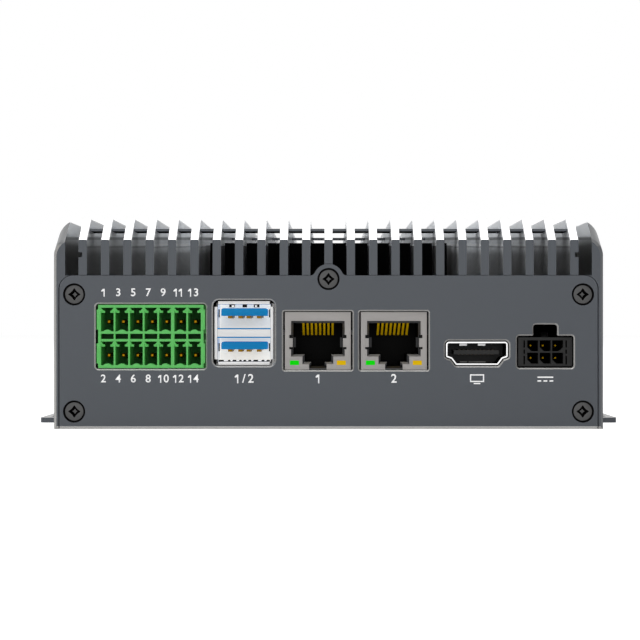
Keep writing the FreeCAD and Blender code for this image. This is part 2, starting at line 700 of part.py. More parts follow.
def video_corners():
    """Socket outline: rounded shoulders, a hip on each side and a narrow foot."""
    half, foot = VIDEO_WIDTH / 2, VIDEO_BOTTOM_WIDTH / 2
    top = VIDEO_BOTTOM + VIDEO_HEIGHT
    shoulder = VIDEO_BOTTOM + VIDEO_SHOULDER
    hip_x, hip_z = half - VIDEO_HIP_INSET, shoulder - VIDEO_HIP_DROP
    return [
        (VIDEO_X - foot, VIDEO_BOTTOM, VIDEO_CORNER / 2),
        (VIDEO_X + foot, VIDEO_BOTTOM, VIDEO_CORNER / 2),
        (VIDEO_X + hip_x, hip_z, 0),
        (VIDEO_X + half, shoulder - VIDEO_HIP_DROP / 4, VIDEO_CORNER / 2),
        (VIDEO_X + half, top, VIDEO_CORNER),
        (VIDEO_X - half, top, VIDEO_CORNER),
        (VIDEO_X - half, shoulder - VIDEO_HIP_DROP / 4, VIDEO_CORNER / 2),
        (VIDEO_X - hip_x, hip_z, 0),
    ]


def video_cutout():
    return grow(video_corners(), PANEL_CLEARANCE * 0.65)


def power_cutout():
    """Rectangle with a raised tab that clears the plug's latch."""
    half = POWER_WIDTH / 2 + PANEL_CLEARANCE * 0.8
    tab = POWER_TAB_WIDTH / 2
    bottom = POWER_BOTTOM - PANEL_CLEARANCE
    top = POWER_BOTTOM + POWER_HEIGHT + PANEL_CLEARANCE
    radius = POWER_CUTOUT_CORNER
    return [
        (POWER_X - half, bottom, radius),
        (POWER_X + half, bottom, radius),
        (POWER_X + half, top, radius),
        (POWER_X + tab, top, radius / 2),
        (POWER_X + tab, top + POWER_TAB_HEIGHT, radius),
        (POWER_X - tab, top + POWER_TAB_HEIGHT, radius),
        (POWER_X - tab, top, radius / 2),
        (POWER_X - half, top, radius),
    ]


def front_panel():
    outlines = [terminal_cutout(), stack_cutout(), video_cutout(), power_cutout()]
    outlines += [jack_cutout(x) for x in JACK_XS]
    cuts = []
    for corners in outlines:
        cuts += cutout_tools(corners)
    return plain_panel().cut(cuts)


def countersunk_screw(length):
    """Screw pointing up +Z, its flat head at the origin."""
    head_depth = (SCREW_HEAD_DIAMETER - SCREW_DIAMETER) / 2
    head = Part.makeCone(SCREW_HEAD_DIAMETER / 2, SCREW_DIAMETER / 2, head_depth)
    return fuse([head, Part.makeCylinder(SCREW_DIAMETER / 2, length)])


def front_panel_screws():
    """Heads sink until their cones meet the countersinks."""
    sink = (COUNTERSINK_DIAMETER - SCREW_HEAD_DIAMETER) / 2
    inwards = FreeCAD.Rotation(Vector(1, 0, 0), -90)
    screws = []
    for x, z in panel_screw_places():
        screw = countersunk_screw(PANEL_SCREW_LENGTH - sink)
        screw.Placement = FreeCAD.Placement(Vector(x, FRONT + sink, z), inwards)
        screws.append(screw)
    return screws


# --- bottom cover and its screws ---------------------------------------------------------
def ear_outline_prism():
    """Sheet strip across the housing that ends in the two mounting ears."""
    strip = box(-EAR_HALF, EAR_HALF, EAR_SETBACK, HOUSING_LENGTH - EAR_SETBACK, 0, COVER_THICKNESS)
    corners = [edge for edge in strip.Edges
               if abs(edge.Vertexes[0].Z - edge.Vertexes[1].Z) > COVER_THICKNESS / 2]
    return strip.makeFillet(EAR_CORNER_RADIUS, corners)


def bottom_cover():
    start, end = PANEL_THICKNESS + COVER_GAP, HOUSING_LENGTH - PANEL_THICKNESS - COVER_GAP
    sheet = fuse([box(-COVER_HALF, COVER_HALF, start, end, 0, COVER_THICKNESS), ear_outline_prism()])
    cuts = []
    for x, y in ear_hole_places():
        below = Vector(x, y, -MARGIN)
        cuts.append(Part.makeCylinder(EAR_HOLE_DIAMETER / 2, COVER_THICKNESS + 2 * MARGIN, below))
    cuts += cover_screw_sinks()
    for x, setback in standoff_places():
        cuts.append(post(x, setback, -MARGIN, COVER_THICKNESS + MARGIN, STANDOFF_SPIGOT_DIAMETER))
    return sheet.cut(cuts)


def ear_hole_places():
    return [(x, y) for x in (-EAR_HOLE_X, EAR_HOLE_X) for y in (-EAR_HOLE_Y, EAR_HOLE_Y)]


def bottom_cover_screws():
    sink = (COUNTERSINK_DIAMETER - SCREW_HEAD_DIAMETER) / 2
    screws = []
    for x, setback in cover_screw_places():
        screw = countersunk_screw(COVER_SCREW_LENGTH - sink)
        screw.translate(Vector(x, FRONT + setback, sink))
        screws.append(screw)
    return screws


# --- main board --------------------------------------------------------------------------
def standoff_places():
    return [(x, depth) for x in (-STANDOFF_X, STANDOFF_X)
            for depth in (STANDOFF_SETBACK, HOUSING_LENGTH - STANDOFF_SETBACK)]


def main_board():
    board = box(-BOARD_HALF, BOARD_HALF, PANEL_THICKNESS + BOARD_END_GAP,
                HOUSING_LENGTH - PANEL_THICKNESS - BOARD_END_GAP, BOARD_BOTTOM, BOARD_TOP)
    return board.cut([post(x, depth, BOARD_BOTTOM - MARGIN, BOARD_TOP + MARGIN, SCREW_DIAMETER)
                      for x, depth in standoff_places()])


def board_standoffs():
    """Hexagonal pillars pressed into the bottom cover."""
    pillars = []
    for x, depth in standoff_places():
        pillar = hexagon_post(x, depth, COVER_THICKNESS, BOARD_BOTTOM, STANDOFF_WIDTH)
        spigot = post(x, depth, 0, COVER_THICKNESS, STANDOFF_SPIGOT_DIAMETER)
        bore = post(x, depth, BOARD_TOP - BOARD_SCREW_REACH, BOARD_BOTTOM + MARGIN, SCREW_DIAMETER)
        pillars.append(fuse([pillar, spigot]).cut(bore))
    return pillars


def pan_screw(x, depth, seat, reach, diameter, head_diameter, head_height):
    """Round-headed screw pointing down, its head resting on a seat."""
    shank = post(x, depth, seat - reach, seat, diameter)
    head = post(x, depth, seat, seat + head_height, head_diameter)
    head = head.makeChamfer(head_height * HEAD_CHAMFER, [head.Edges[0]])
    return fuse([shank, head])


def board_screws():
    return [pan_screw(x, depth, BOARD_TOP, BOARD_SCREW_REACH, SCREW_DIAMETER,
                      BOARD_SCREW_HEAD_DIAMETER, BOARD_SCREW_HEAD_HEIGHT)
            for x, depth in standoff_places()]


# --- compute module ----------------------------------------------------------------------
def module_post_places():
    depth = MODULE_SETBACK + MODULE_LENGTH - MODULE_POST_INSET
    return [(side * (MODULE_WIDTH / 2 - MODULE_POST_INSET), depth) for side in (-1, 1)]


def compute_module_board():
    board = centred_box(0, MODULE_WIDTH, MODULE_SETBACK, MODULE_SETBACK + MODULE_LENGTH,
                        MODULE_BOTTOM, MODULE_TOP)
    return board.cut([post(x, depth, MODULE_BOTTOM - MARGIN, MODULE_TOP + MARGIN, SMALL_SCREW_DIAMETER)
                      for x, depth in module_post_places()])


def module_socket():
    """Edge socket: a bar with a slot that holds the module's front edge."""
    back = MODULE_SETBACK + MODULE_SOCKET_GRIP
    bar = centred_box(0, MODULE_WIDTH + 2 * MODULE_SOCKET_OVERHANG, back - MODULE_SOCKET_DEPTH, back,
                      BOARD_TOP, MODULE_TOP + MODULE_SOCKET_CAP)
    slot = centred_box(0, MODULE_WIDTH, MODULE_SETBACK, back + MARGIN, MODULE_BOTTOM, MODULE_TOP)
    return bar.cut(slot)


def module_posts():
    return [post(x, depth, BOARD_TOP, MODULE_BOTTOM, MODULE_POST_DIAMETER).cut(
                post(x, depth, BOARD_TOP + MARGIN, MODULE_BOTTOM + MARGIN, SMALL_SCREW_DIAMETER))
            for x, depth in module_post_places()]


def module_screws():
    reach = MODULE_TOP - BOARD_TOP - MARGIN
    return [pan_screw(x, depth, MODULE_TOP, reach, SMALL_SCREW_DIAMETER, SMALL_HEAD_DIAMETER,
                      SMALL_HEAD_HEIGHT)
            for x, depth in module_post_places()]


def processor_package():
    return centred_box(0, PROCESSOR_SIZE, PROCESSOR_CENTRE - PROCESSOR_SIZE / 2,
                       PROCESSOR_CENTRE + PROCESSOR_SIZE / 2, MODULE_TOP, PROCESSOR_TOP)


def thermal_pad():
    return centred_box(0, PROCESSOR_SIZE, PROCESSOR_CENTRE - PROCESSOR_SIZE / 2,
                       PROCESSOR_CENTRE + PROCESSOR_SIZE / 2, PROCESSOR_TOP, PEDESTAL_BOTTOM)


def memory_chips():
    width, length, height = MEMORY_SIZE
    chips = []
    for side in (-1, 1):
        for step in (-1, 1):
            middle = PROCESSOR_CENTRE + step * MEMORY_SPACING / 2
            chips.append(centred_box(side * MEMORY_X, width, middle - length / 2, middle + length / 2,
                                     MODULE_TOP, MODULE_TOP + height))
    return chips


# --- storage card ------------------------------------------------------------------------
def storage_card():
    card = centred_box(CARD_X, CARD_WIDTH, CARD_SETBACK, CARD_END, CARD_BOTTOM, CARD_TOP)
    return card.cut(post(CARD_X, CARD_END, CARD_BOTTOM - MARGIN, CARD_TOP + MARGIN, SMALL_SCREW_DIAMETER))


def storage_chips():
    width, length, height = CARD_CHIP_SIZE
    first = CARD_SETBACK + CARD_CHIP_SETBACK
    return [centred_box(CARD_X, width, start, start + length, CARD_TOP, CARD_TOP + height)
            for start in (first, first + CARD_CHIP_SPACING)]


def storage_socket():
    back = CARD_SETBACK + CARD_SOCKET_GRIP
    bar = centred_box(CARD_X, CARD_WIDTH + 2 * CARD_SOCKET_OVERHANG, back - CARD_SOCKET_DEPTH, back,
                      BOARD_TOP, BOARD_TOP + CARD_SOCKET_HEIGHT)
    return bar.cut(centred_box(CARD_X, CARD_WIDTH, CARD_SETBACK, back + MARGIN, CARD_BOTTOM, CARD_TOP))


def storage_post():
    pillar = post(CARD_X, CARD_END, BOARD_TOP, CARD_BOTTOM, CARD_POST_DIAMETER)
    return pillar.cut(post(CARD_X, CARD_END, BOARD_TOP + MARGIN, CARD_TOP, SMALL_SCREW_DIAMETER))


def storage_screw():
    return pan_screw(CARD_X, CARD_END, CARD_TOP, CARD_TOP - BOARD_TOP - MARGIN, SMALL_SCREW_DIAMETER,
                     SMALL_HEAD_DIAMETER, SMALL_HEAD_HEIGHT)


# --- other parts on the board --------------------------------------------------------------
def battery_holder():
    outer = CELL_DIAMETER + 2 * HOLDER_WALL
    rim = BOARD_TOP + HOLDER_FLOOR + CELL_HEIGHT
    cup = post(CELL_X, CELL_SETBACK, BOARD_TOP, rim, outer)
    pocket = post(CELL_X, CELL_SETBACK, BOARD_TOP + HOLDER_FLOOR, rim + MARGIN, CELL_DIAMETER)
    gap = centred_box(CELL_X, HOLDER_GAP, CELL_SETBACK, CELL_SETBACK + outer,
                      BOARD_TOP + HOLDER_FLOOR, rim + MARGIN)
    return cup.cut([pocket, gap])


def clock_battery():
    floor = BOARD_TOP + HOLDER_FLOOR
    cell = post(CELL_X, CELL_SETBACK, floor, floor + CELL_HEIGHT, CELL_DIAMETER)
    return cell.makeChamfer(CELL_HEIGHT / 8, [cell.Edges[0], cell.Edges[2]])


def power_inductors():
    centre = HOUSING_LENGTH - INDUCTOR_SETBACK
    blocks = []
    for step in (-1, 0, 1):
        block = centred_box(step * INDUCTOR_SPACING, INDUCTOR_SIZE, centre - INDUCTOR_SIZE / 2,
                            centre + INDUCTOR_SIZE / 2, BOARD_TOP, BOARD_TOP + INDUCTOR_HEIGHT)
        upright = [edge for edge in block.Edges
                   if abs(edge.Vertexes[0].Z - edge.Vertexes[1].Z) > INDUCTOR_HEIGHT / 2]
        blocks.append(block.makeFillet(INDUCTOR_SIZE / 8, upright))
    return blocks


def capacitors():
    cans = []
    for index in range(CAPACITOR_COUNT):
        depth = CAPACITOR_SETBACK + index * CAPACITOR_SPACING
        foot = centred_box(CAPACITOR_X, CAPACITOR_BASE, depth - CAPACITOR_BASE / 2,
                           depth + CAPACITOR_BASE / 2, BOARD_TOP, BOARD_TOP + CAPACITOR_BASE_HEIGHT)
        can = post(CAPACITOR_X, depth, BOARD_TOP, BOARD_TOP + CAPACITOR_HEIGHT, CAPACITOR_DIAMETER)
        cans.append(fuse([foot, can]))
    return cans


# --- terminal block ------------------------------------------------------------------------
def terminal_top():
    cells = TERMINAL_BOTTOM + TERMINAL_FLOOR + TERMINAL_ROW_PITCH + TERMINAL_CELL_HEIGHT
    return cells + TERMINAL_FLOOR


def terminal_row_floors():
    lower = TERMINAL_BOTTOM + TERMINAL_FLOOR
    return (lower, lower + TERMINAL_ROW_PITCH)


def partition_x(index):
    return TERMINAL_X + (index - TERMINAL_WAYS / 2) * TERMINAL_PITCH


def partition_width(index):
    return TERMINAL_KEY_WALL if index == TERMINAL_KEY_INDEX else TERMINAL_WALL


def tooth(index, top):
    """Keying tooth on a partition: a gusset under the roof that widens into two ledges."""
    x = partition_x(index)
    root = partition_width(index) / 2
    wide = root + TOOTH_HALF_WIDTH - TERMINAL_WALL / 2
    gusset = [(x - wide, top - TOOTH_HEIGHT, 0), (x + wide, top - TOOTH_HEIGHT, 0),
              (x + root, top, 0), (x - root, top, 0)]
    ledge = rectangle(x, 2 * (wide + LEDGE_HALF_WIDTH - TOOTH_HALF_WIDTH),
                      top - TOOTH_HEIGHT - LEDGE_HEIGHT, top - TOOTH_HEIGHT)
    return [prism(gusset, FACE_SETBACK, FACE_SETBACK + LEDGE_DEPTH),
            prism(ledge, FACE_SETBACK + LEDGE_SETBACK, FACE_SETBACK + LEDGE_SETBACK + LEDGE_DEPTH)]


def bump(index, floor):
    """Low rounded ridge on a cell's floor."""
    x = (partition_x(index) + partition_x(index + 1)) / 2
    y = FRONT + FACE_SETBACK
    left, right = Vector(x - BUMP_HALF_WIDTH, y, floor), Vector(x + BUMP_HALF_WIDTH, y, floor)
    arc = Part.Arc(left, Vector(x, y, floor + BUMP_HEIGHT), right).toShape()
    sunk = [right, right - Vector(0, 0, BUMP_HEIGHT), left - Vector(0, 0, BUMP_HEIGHT), left]
    edges = [arc] + [Part.makeLine(sunk[step], sunk[step + 1]) for step in range(3)]
    return Part.Face(Part.Wire(edges)).extrude(Vector(0, TERMINAL_CELL_DEPTH, 0))


def terminal_block():
    """Two rows of seven open cells with keying teeth, and a shallow slot row between them."""
    half = TERMINAL_WIDTH / 2
    top = terminal_top()
    body = box(TERMINAL_X - half, TERMINAL_X + half, FACE_SETBACK, TERMINAL_DEPTH, TERMINAL_BOTTOM, top)
    base = box(TERMINAL_X - half, TERMINAL_X + half, BEHIND_PANEL, TERMINAL_DEPTH, BOARD_TOP, top)
    lower, upper = terminal_row_floors()
    ribs = []
    for floor in (lower, upper):
        ribs.append(box(TERMINAL_X - half - TERMINAL_RIB, TERMINAL_X + half + TERMINAL_RIB,
                        FACE_SETBACK, TERMINAL_DEPTH, floor + TERMINAL_RIB_MARGIN,
                        floor + TERMINAL_CELL_HEIGHT - TERMINAL_RIB_MARGIN))
    cells = []
    slot_floor, slot_top = lower + TERMINAL_CELL_HEIGHT + TERMINAL_BAR, upper - TERMINAL_BAR
    for index in range(TERMINAL_WAYS):
        x0 = partition_x(index) + partition_width(index) / 2
        x1 = partition_x(index + 1) - partition_width(index + 1) / 2
        for floor in (lower, upper):
            cells.append(box(x0, x1, FACE_SETBACK - MARGIN, FACE_SETBACK + TERMINAL_CELL_DEPTH,
                             floor, floor + TERMINAL_CELL_HEIGHT))
        cells.append(box(x0, x1, FACE_SETBACK - MARGIN, FACE_SETBACK + TERMINAL_SLOT_DEPTH,
                         slot_floor, slot_top))
    hollow = fuse([body, base] + ribs).cut(cells)
    details = []
    for floor in (lower, upper):
        for index in range(TERMINAL_WAYS + 1):
            details += tooth(index, floor + TERMINAL_CELL_HEIGHT)
        for index in range(TERMINAL_WAYS):
            details.append(bump(index, floor))
    outside = box(TERMINAL_X - half, TERMINAL_X + half, 0, TERMINAL_DEPTH, TERMINAL_BOTTOM, top)
    details = [detail.common(outside) for detail in details]
    block = fuse([hollow] + details)
    return block.cut([pin.common(body) for pin in terminal_pins()])


def terminal_pins():
    """Square pins with pointed tips, one in each cell."""
    pins = []
    half = TERMINAL_PIN_SIZE / 2
    for floor in terminal_row_floors():
        for index in range(TERMINAL_WAYS):
            x = (partition_x(index) + partition_x(index + 1)) / 2
            z = floor + TERMINAL_PIN_LEVEL
            tip, shoulder = TERMINAL_PIN_SETBACK, TERMINAL_PIN_SETBACK + PIN_TIP
            front = loop(rectangle(x, half, z - half / 2, z + half / 2), tip)
            square = loop(rectangle(x, 2 * half, z - half, z + half), shoulder)
            end = loop(rectangle(x, 2 * half, z - half, z + half), TERMINAL_CELL_DEPTH + MARGIN)
            pins.append(Part.makeLoft([front, square, end], True, True))
    return pins


# --- stacked double port ---------------------------------------------------------------------
def stack_openings():
    """Floor and top of the lower and the upper opening."""
    floor = STACK_BOTTOM + STACK_LIP
    top = STACK_BOTTOM + STACK_HEIGHT - STACK_LIP
    middle = (floor + top) / 2
    gap = STACK_DIVIDER / 2 + STACK_STRIP
    return ((floor, middle - gap), (middle + gap, top))


def stack_inner_width():
    return STACK_WIDTH - 2 * STACK_LIP


def double_port_shell():
    """Sheet metal box with a flared lip on each side and a bar between the openings."""
    (floor, low_top), (high_floor, top) = stack_openings()
    inner = stack_inner_width()
    outer = inner + 2 * STACK_SHEET
    lip_front, lip_back = FACE_SETBACK, FACE_SETBACK + STACK_LIP_DEPTH
    tube = centred_box(STACK_X, outer, lip_back, STACK_DEPTH, floor - STACK_SHEET, top + STACK_SHEET)
    base = centred_box(STACK_X, outer, BEHIND_PANEL, STACK_DEPTH, BOARD_TOP, floor)
    low, high = STACK_BOTTOM, STACK_BOTTOM + STACK_HEIGHT
    lips = [
        centred_box(STACK_X, STACK_WIDTH - 2 * STACK_LIP_ENDS, lip_front, lip_back, low, high),
        centred_box(STACK_X, STACK_WIDTH, lip_front, lip_back,
                    low + STACK_SIDE_LIP_ENDS, high - STACK_SIDE_LIP_ENDS),
    ]
    cavity = centred_box(STACK_X, inner, FACE_SETBACK - MARGIN, STACK_DEPTH - STACK_SHEET, floor, top)
    divider = centred_box(STACK_X, inner, FACE_SETBACK, FACE_SETBACK + STACK_CAVITY_DEPTH,
                          low_top + STACK_STRIP, high_floor - STACK_STRIP)
    hollow = fuse([tube, base] + lips).cut(cavity)
    return fuse([hollow, divider])


def double_port_tongues():
    """Blue insulator: a block behind both openings, a tongue in each and two strips."""
    (floor, low_top), (high_floor, top) = stack_openings()
    inner = stack_inner_width()
    back = FACE_SETBACK + STACK_CAVITY_DEPTH
    parts = [centred_box(STACK_X, inner, back, STACK_DEPTH - STACK_SHEET, floor, top)]
    for opening_top in (low_top, top):
        tongue_top = opening_top - TONGUE_DROP
        half = TONGUE_WIDTH / 2
        outline = [(STACK_X - half, tongue_top - TONGUE_THICKNESS, 0),
                   (STACK_X + half, tongue_top - TONGUE_THICKNESS, 0),
                   (STACK_X + half, tongue_top, TONGUE_CORNER),
                   (STACK_X - half, tongue_top, TONGUE_CORNER)]
        parts.append(prism(outline, FACE_SETBACK + TONGUE_SETBACK, back + MARGIN))
    for z0, z1 in ((low_top, low_top + STACK_STRIP), (high_floor - STACK_STRIP, high_floor)):
        parts.append(centred_box(STACK_X, inner, FACE_SETBACK, back, z0, z1))
    return fuse(parts)


def double_port_contacts():
    """Flat springs under each tongue."""
    contacts = []
    for floor, opening_top in stack_openings():
        under = opening_top - TONGUE_DROP - TONGUE_THICKNESS
        for offset in STACK_CONTACT_OFFSETS:
            contacts.append(centred_box(STACK_X + offset, STACK_CONTACT_WIDTH,
                                        FACE_SETBACK + STACK_CONTACT_SETBACK,
                                        FACE_SETBACK + STACK_CAVITY_DEPTH,
                                        under - STACK_CONTACT_THICKNESS, under))
    return contacts


# --- network jacks ---------------------------------------------------------------------------
def jack_opening(x, floor):
    """Stepped plug opening, open at its foot for the plug's latch."""
    wide, step, notch = JACK_OPENING_WIDTH / 2, JACK_STEP_WIDTH / 2, JACK_NOTCH_WIDTH / 2
    ledge, sill = BOARD_TOP + JACK_OPENING_FLOOR, BOARD_TOP + JACK_STEP_FLOOR
    top = BOARD_TOP + JACK_OPENING_TOP
    return [(x - notch, floor, 0), (x + notch, floor, 0), (x + notch, sill, 0), (x + step, sill, 0),
            (x + step, ledge, 0), (x + wide, ledge, 0), (x + wide, top, 0), (x - wide, top, 0),
            (x - wide, ledge, 0), (x - step, ledge, 0), (x - step, sill, 0), (x - notch, sill, 0)]


def jack_light_boxes(x, side, depth0, depth1):
    floor = BOARD_TOP + LIGHT_FLOOR
    return centred_box(x + side * LIGHT_OFFSET, LIGHT_WIDTH, depth0, depth1, floor, floor + LIGHT_HEIGHT)


def jack_shell(x):
    """Folded metal can with the plug opening, two light holes and side springs."""
    top = BOARD_TOP + JACK_HEIGHT
    can = centred_box(x, JACK_WIDTH, FACE_SETBACK, JACK_DEPTH, BOARD_TOP, top)
    inside = centred_box(x, JACK_WIDTH - 2 * JACK_SHEET, FACE_SETBACK + JACK_SHEET, JACK_DEPTH + MARGIN,
                         BOARD_TOP - MARGIN, top - JACK_SHEET)
    behind_sheet = FACE_SETBACK + 2 * JACK_SHEET
    opening = prism(jack_opening(x, BOARD_TOP - MARGIN), FACE_SETBACK - MARGIN, behind_sheet)
    lights = [jack_light_boxes(x, side, 0, behind_sheet) for side in (-1, 1)]
    notches, springs = [], []
    spring_floor, spring_top = BOARD_TOP + JACK_SPRING_FLOOR, BOARD_TOP + JACK_SPRING_TOP
    half_notch = JACK_SPRING_NOTCH / 2
    for side in (-1, 1):
        edge = x + side * JACK_OPENING_WIDTH / 2
        for z in (spring_floor, spring_top):
            notches.append(centred_box(edge, 4 * half_notch, 0, behind_sheet, z - half_notch, z + half_notch))
        springs.append(centred_box(edge, 2 * JACK_SPRING_REACH, FACE_SETBACK, FACE_SETBACK + JACK_SHEET,
                                   spring_floor + half_notch, spring_top - half_notch))
    hollow = can.cut([inside, opening] + lights + notches)
    return fuse([hollow] + springs)


def jack_insert(x):
    """Plastic body inside the can, with the plug cavity and bevelled ledges."""
    front, back = FACE_SETBACK + JACK_SHEET, JACK_DEPTH - JACK_SHEET
    body = centred_box(x, JACK_WIDTH - 2 * JACK_SHEET, front, back, BOARD_TOP,
                       BOARD_TOP + JACK_HEIGHT - JACK_SHEET)
    cavity_floor = BOARD_TOP + JACK_SHEET
    inner = grow(jack_opening(x, cavity_floor), -JACK_BEVEL)
    mouth = jack_opening(x, cavity_floor)
    bevel = Part.makeLoft([loop(mouth, front), loop(inner, front + 2 * JACK_BEVEL)], True, True)
    cavity = prism(inner, front, front + JACK_CAVITY_DEPTH)
    lights = [jack_light_boxes(x, side, front - MARGIN, FACE_SETBACK + LIGHT_DEPTH) for side in (-1, 1)]
    return body.cut([bevel, cavity] + lights)


def jack_contacts(x):
    """Eight sprung wires that slope down and back from the cavity's roof."""
    roof = BOARD_TOP + JACK_OPENING_TOP - JACK_BEVEL
    wires = []
    start, end = JACK_CONTACT_START, JACK_CONTACT_END
    foot = roof - JACK_CONTACT_FALL
    slant = JACK_CONTACT_THICKNESS * 2
    outline = [(start, roof), (start + slant, roof), (end, foot), (end - slant / 2, foot - slant / 2)]
    for index in range(JACK_CONTACTS):
        middle = x + (index - (JACK_CONTACTS - 1) / 2) * JACK_CONTACT_PITCH
        wires.append(side_prism(middle - JACK_CONTACT_WIDTH / 2, middle + JACK_CONTACT_WIDTH / 2, outline))
    return wires


def jack_lights(side):
    """The light windows on one side of both jacks."""
    return [jack_light_boxes(x, side, FACE_SETBACK, FACE_SETBACK + LIGHT_DEPTH) for x in JACK_XS]


# --- video socket ----------------------------------------------------------------------------
def video_socket_shell():
    corners = video_corners()
    tube = prism(corners, FACE_SETBACK, VIDEO_DEPTH)
    cavity = prism(grow(corners, -VIDEO_SHEET), FACE_SETBACK - MARGIN, VIDEO_DEPTH + MARGIN)
    ceiling = VIDEO_BOTTOM + VIDEO_HEIGHT - VIDEO_SHEET
    start = FACE_SETBACK + VIDEO_FINGER_SETBACK
    fingers = [centred_box(VIDEO_X + offset, VIDEO_FINGER_WIDTH, start, start + VIDEO_FINGER_LENGTH,
                           ceiling - VIDEO_FINGER_HEIGHT, ceiling + VIDEO_SHEET / 2)
               for offset in VIDEO_FINGER_OFFSETS]
    return fuse([tube.cut(cavity)] + fingers)


def video_socket_insert():
    """Black insulator: a plug behind the opening, and its tongue."""
    corners = grow(video_corners(), -VIDEO_SHEET)
    back = FACE_SETBACK + VIDEO_CAVITY_DEPTH
    plug = prism(corners, back, VIDEO_DEPTH)
    floor = VIDEO_BOTTOM + VIDEO_TONGUE_LEVEL
    tongue = centred_box(VIDEO_X, VIDEO_TONGUE_WIDTH, FACE_SETBACK + VIDEO_TONGUE_SETBACK, back + MARGIN,
                         floor, floor + VIDEO_TONGUE_THICKNESS)
    return fuse([plug, tongue])


def video_socket_foot():
    """Pad that carries the socket on the board."""
    return centred_box(VIDEO_X, VIDEO_BOTTOM_WIDTH - VIDEO_CORNER, BEHIND_PANEL, VIDEO_DEPTH,
                       BOARD_TOP, VIDEO_BOTTOM)


def video_socket_contacts():
    floor = VIDEO_BOTTOM + VIDEO_TONGUE_LEVEL
    strips = []
    for index in range(VIDEO_CONTACTS):
        x = VIDEO_X + (index - (VIDEO_CONTACTS - 1) / 2) * VIDEO_CONTACT_PITCH
        for z0 in (floor - VIDEO_CONTACT_THICKNESS, floor + VIDEO_TONGUE_THICKNESS):
            strips.append(centred_box(x, VIDEO_CONTACT_WIDTH, FACE_SETBACK + VIDEO_CONTACT_SETBACK,
                                      FACE_SETBACK + VIDEO_CAVITY_DEPTH, z0, z0 + VIDEO_CONTACT_THICKNESS))
    return strips


# --- power inlet -----------------------------------------------------------------------------
def power_cell_places():
    """Column, row and centre of each cell; the top right one has its chamfer on the right."""
    middle = POWER_BOTTOM + POWER_CELL_FLOOR + POWER_CELL / 2
    for row in (0, 1):
        for column in (-1, 0, 1):
            yield column, row, POWER_X + column * POWER_PITCH, middle + row * POWER_PITCH


def power_cell_corners(x, z, keyed_side):
    """Square cell with a chamfer at one lower corner, which keys the plug."""
    half, key = POWER_CELL / 2, POWER_CELL_CHAMFER
    corners = [(-half, key - half), (key - half, -half), (half, -half), (half, half), (-half, half)]
    if keyed_side > 0:
        corners = [(-across, up) for across, up in reversed(corners)]
    return [(x + across, z + up, 0) for across, up in corners]


def power_inlet_housing():
    top = POWER_BOTTOM + POWER_HEIGHT
    body = centred_box(POWER_X, POWER_WIDTH, FACE_SETBACK, POWER_DEPTH, POWER_BOTTOM, top)
    foot = centred_box(POWER_X, POWER_WIDTH, BEHIND_PANEL, POWER_DEPTH, BOARD_TOP,
                       POWER_BOTTOM + POWER_CELL_FLOOR)
    start, end = FACE_SETBACK + POWER_LATCH_SETBACK, FACE_SETBACK + POWER_LATCH_DEPTH
    root = top - POWER_LATCH_ROOT
    ramp = side_prism(POWER_X - POWER_LATCH_WIDTH / 2, POWER_X + POWER_LATCH_WIDTH / 2,
                      [(start, root), (end, root), (end, top + POWER_LATCH_HEIGHT), (start, top)])
    cuts = []
    for column, row, x, z in power_cell_places():
        keyed_side = 1 if (column, row) == (1, 1) else -1
        cuts.append(prism(power_cell_corners(x, z, keyed_side), FACE_SETBACK - MARGIN,
                          FACE_SETBACK + POWER_CELL_DEPTH))
    for side in (-1, 1):
        groove_x = POWER_X + side * (POWER_WIDTH / 2 - POWER_GROOVE_INSET)
        for z0, z1 in POWER_GROOVE_SPANS:
            cuts.append(centred_box(groove_x, POWER_GROOVE_WIDTH, FACE_SETBACK - MARGIN,
                                    FACE_SETBACK + POWER_GROOVE_DEPTH, POWER_BOTTOM + z0, POWER_BOTTOM + z1))
    return fuse([body, foot, ramp]).cut(cuts + power_inlet_pins())


def power_inlet_pins():
    pins = []
    half = POWER_PIN_SIZE / 2
    for column, row, x, z in power_cell_places():
        tip, shoulder = POWER_PIN_SETBACK, POWER_PIN_SETBACK + PIN_TIP
        front = loop(rectangle(x, half, z - half / 2, z + half / 2), tip)
        square = loop(rectangle(x, 2 * half, z - half, z + half), shoulder)
        end = loop(rectangle(x, 2 * half, z - half, z + half), FACE_SETBACK + POWER_CELL_DEPTH + MARGIN)
        pins.append(Part.makeLoft([front, square, end], True, True))
    return pins


# --- export ----------------------------------------------------------------------------------
def save(name, shape):
    """Write one piece, or a group of like pieces, under its own name."""
    if isinstance(shape, list):
        shape = Part.makeCompound([solid for item in shape for solid in item.Solids])
    if not shape.isValid():
        raise ValueError(name + " is not a valid shape")
    shape.exportStep("parts/" + name + ".step")
    print(f"{name:26s} solids {len(shape.Solids):3d}  volume {shape.Volume:10.1f}")


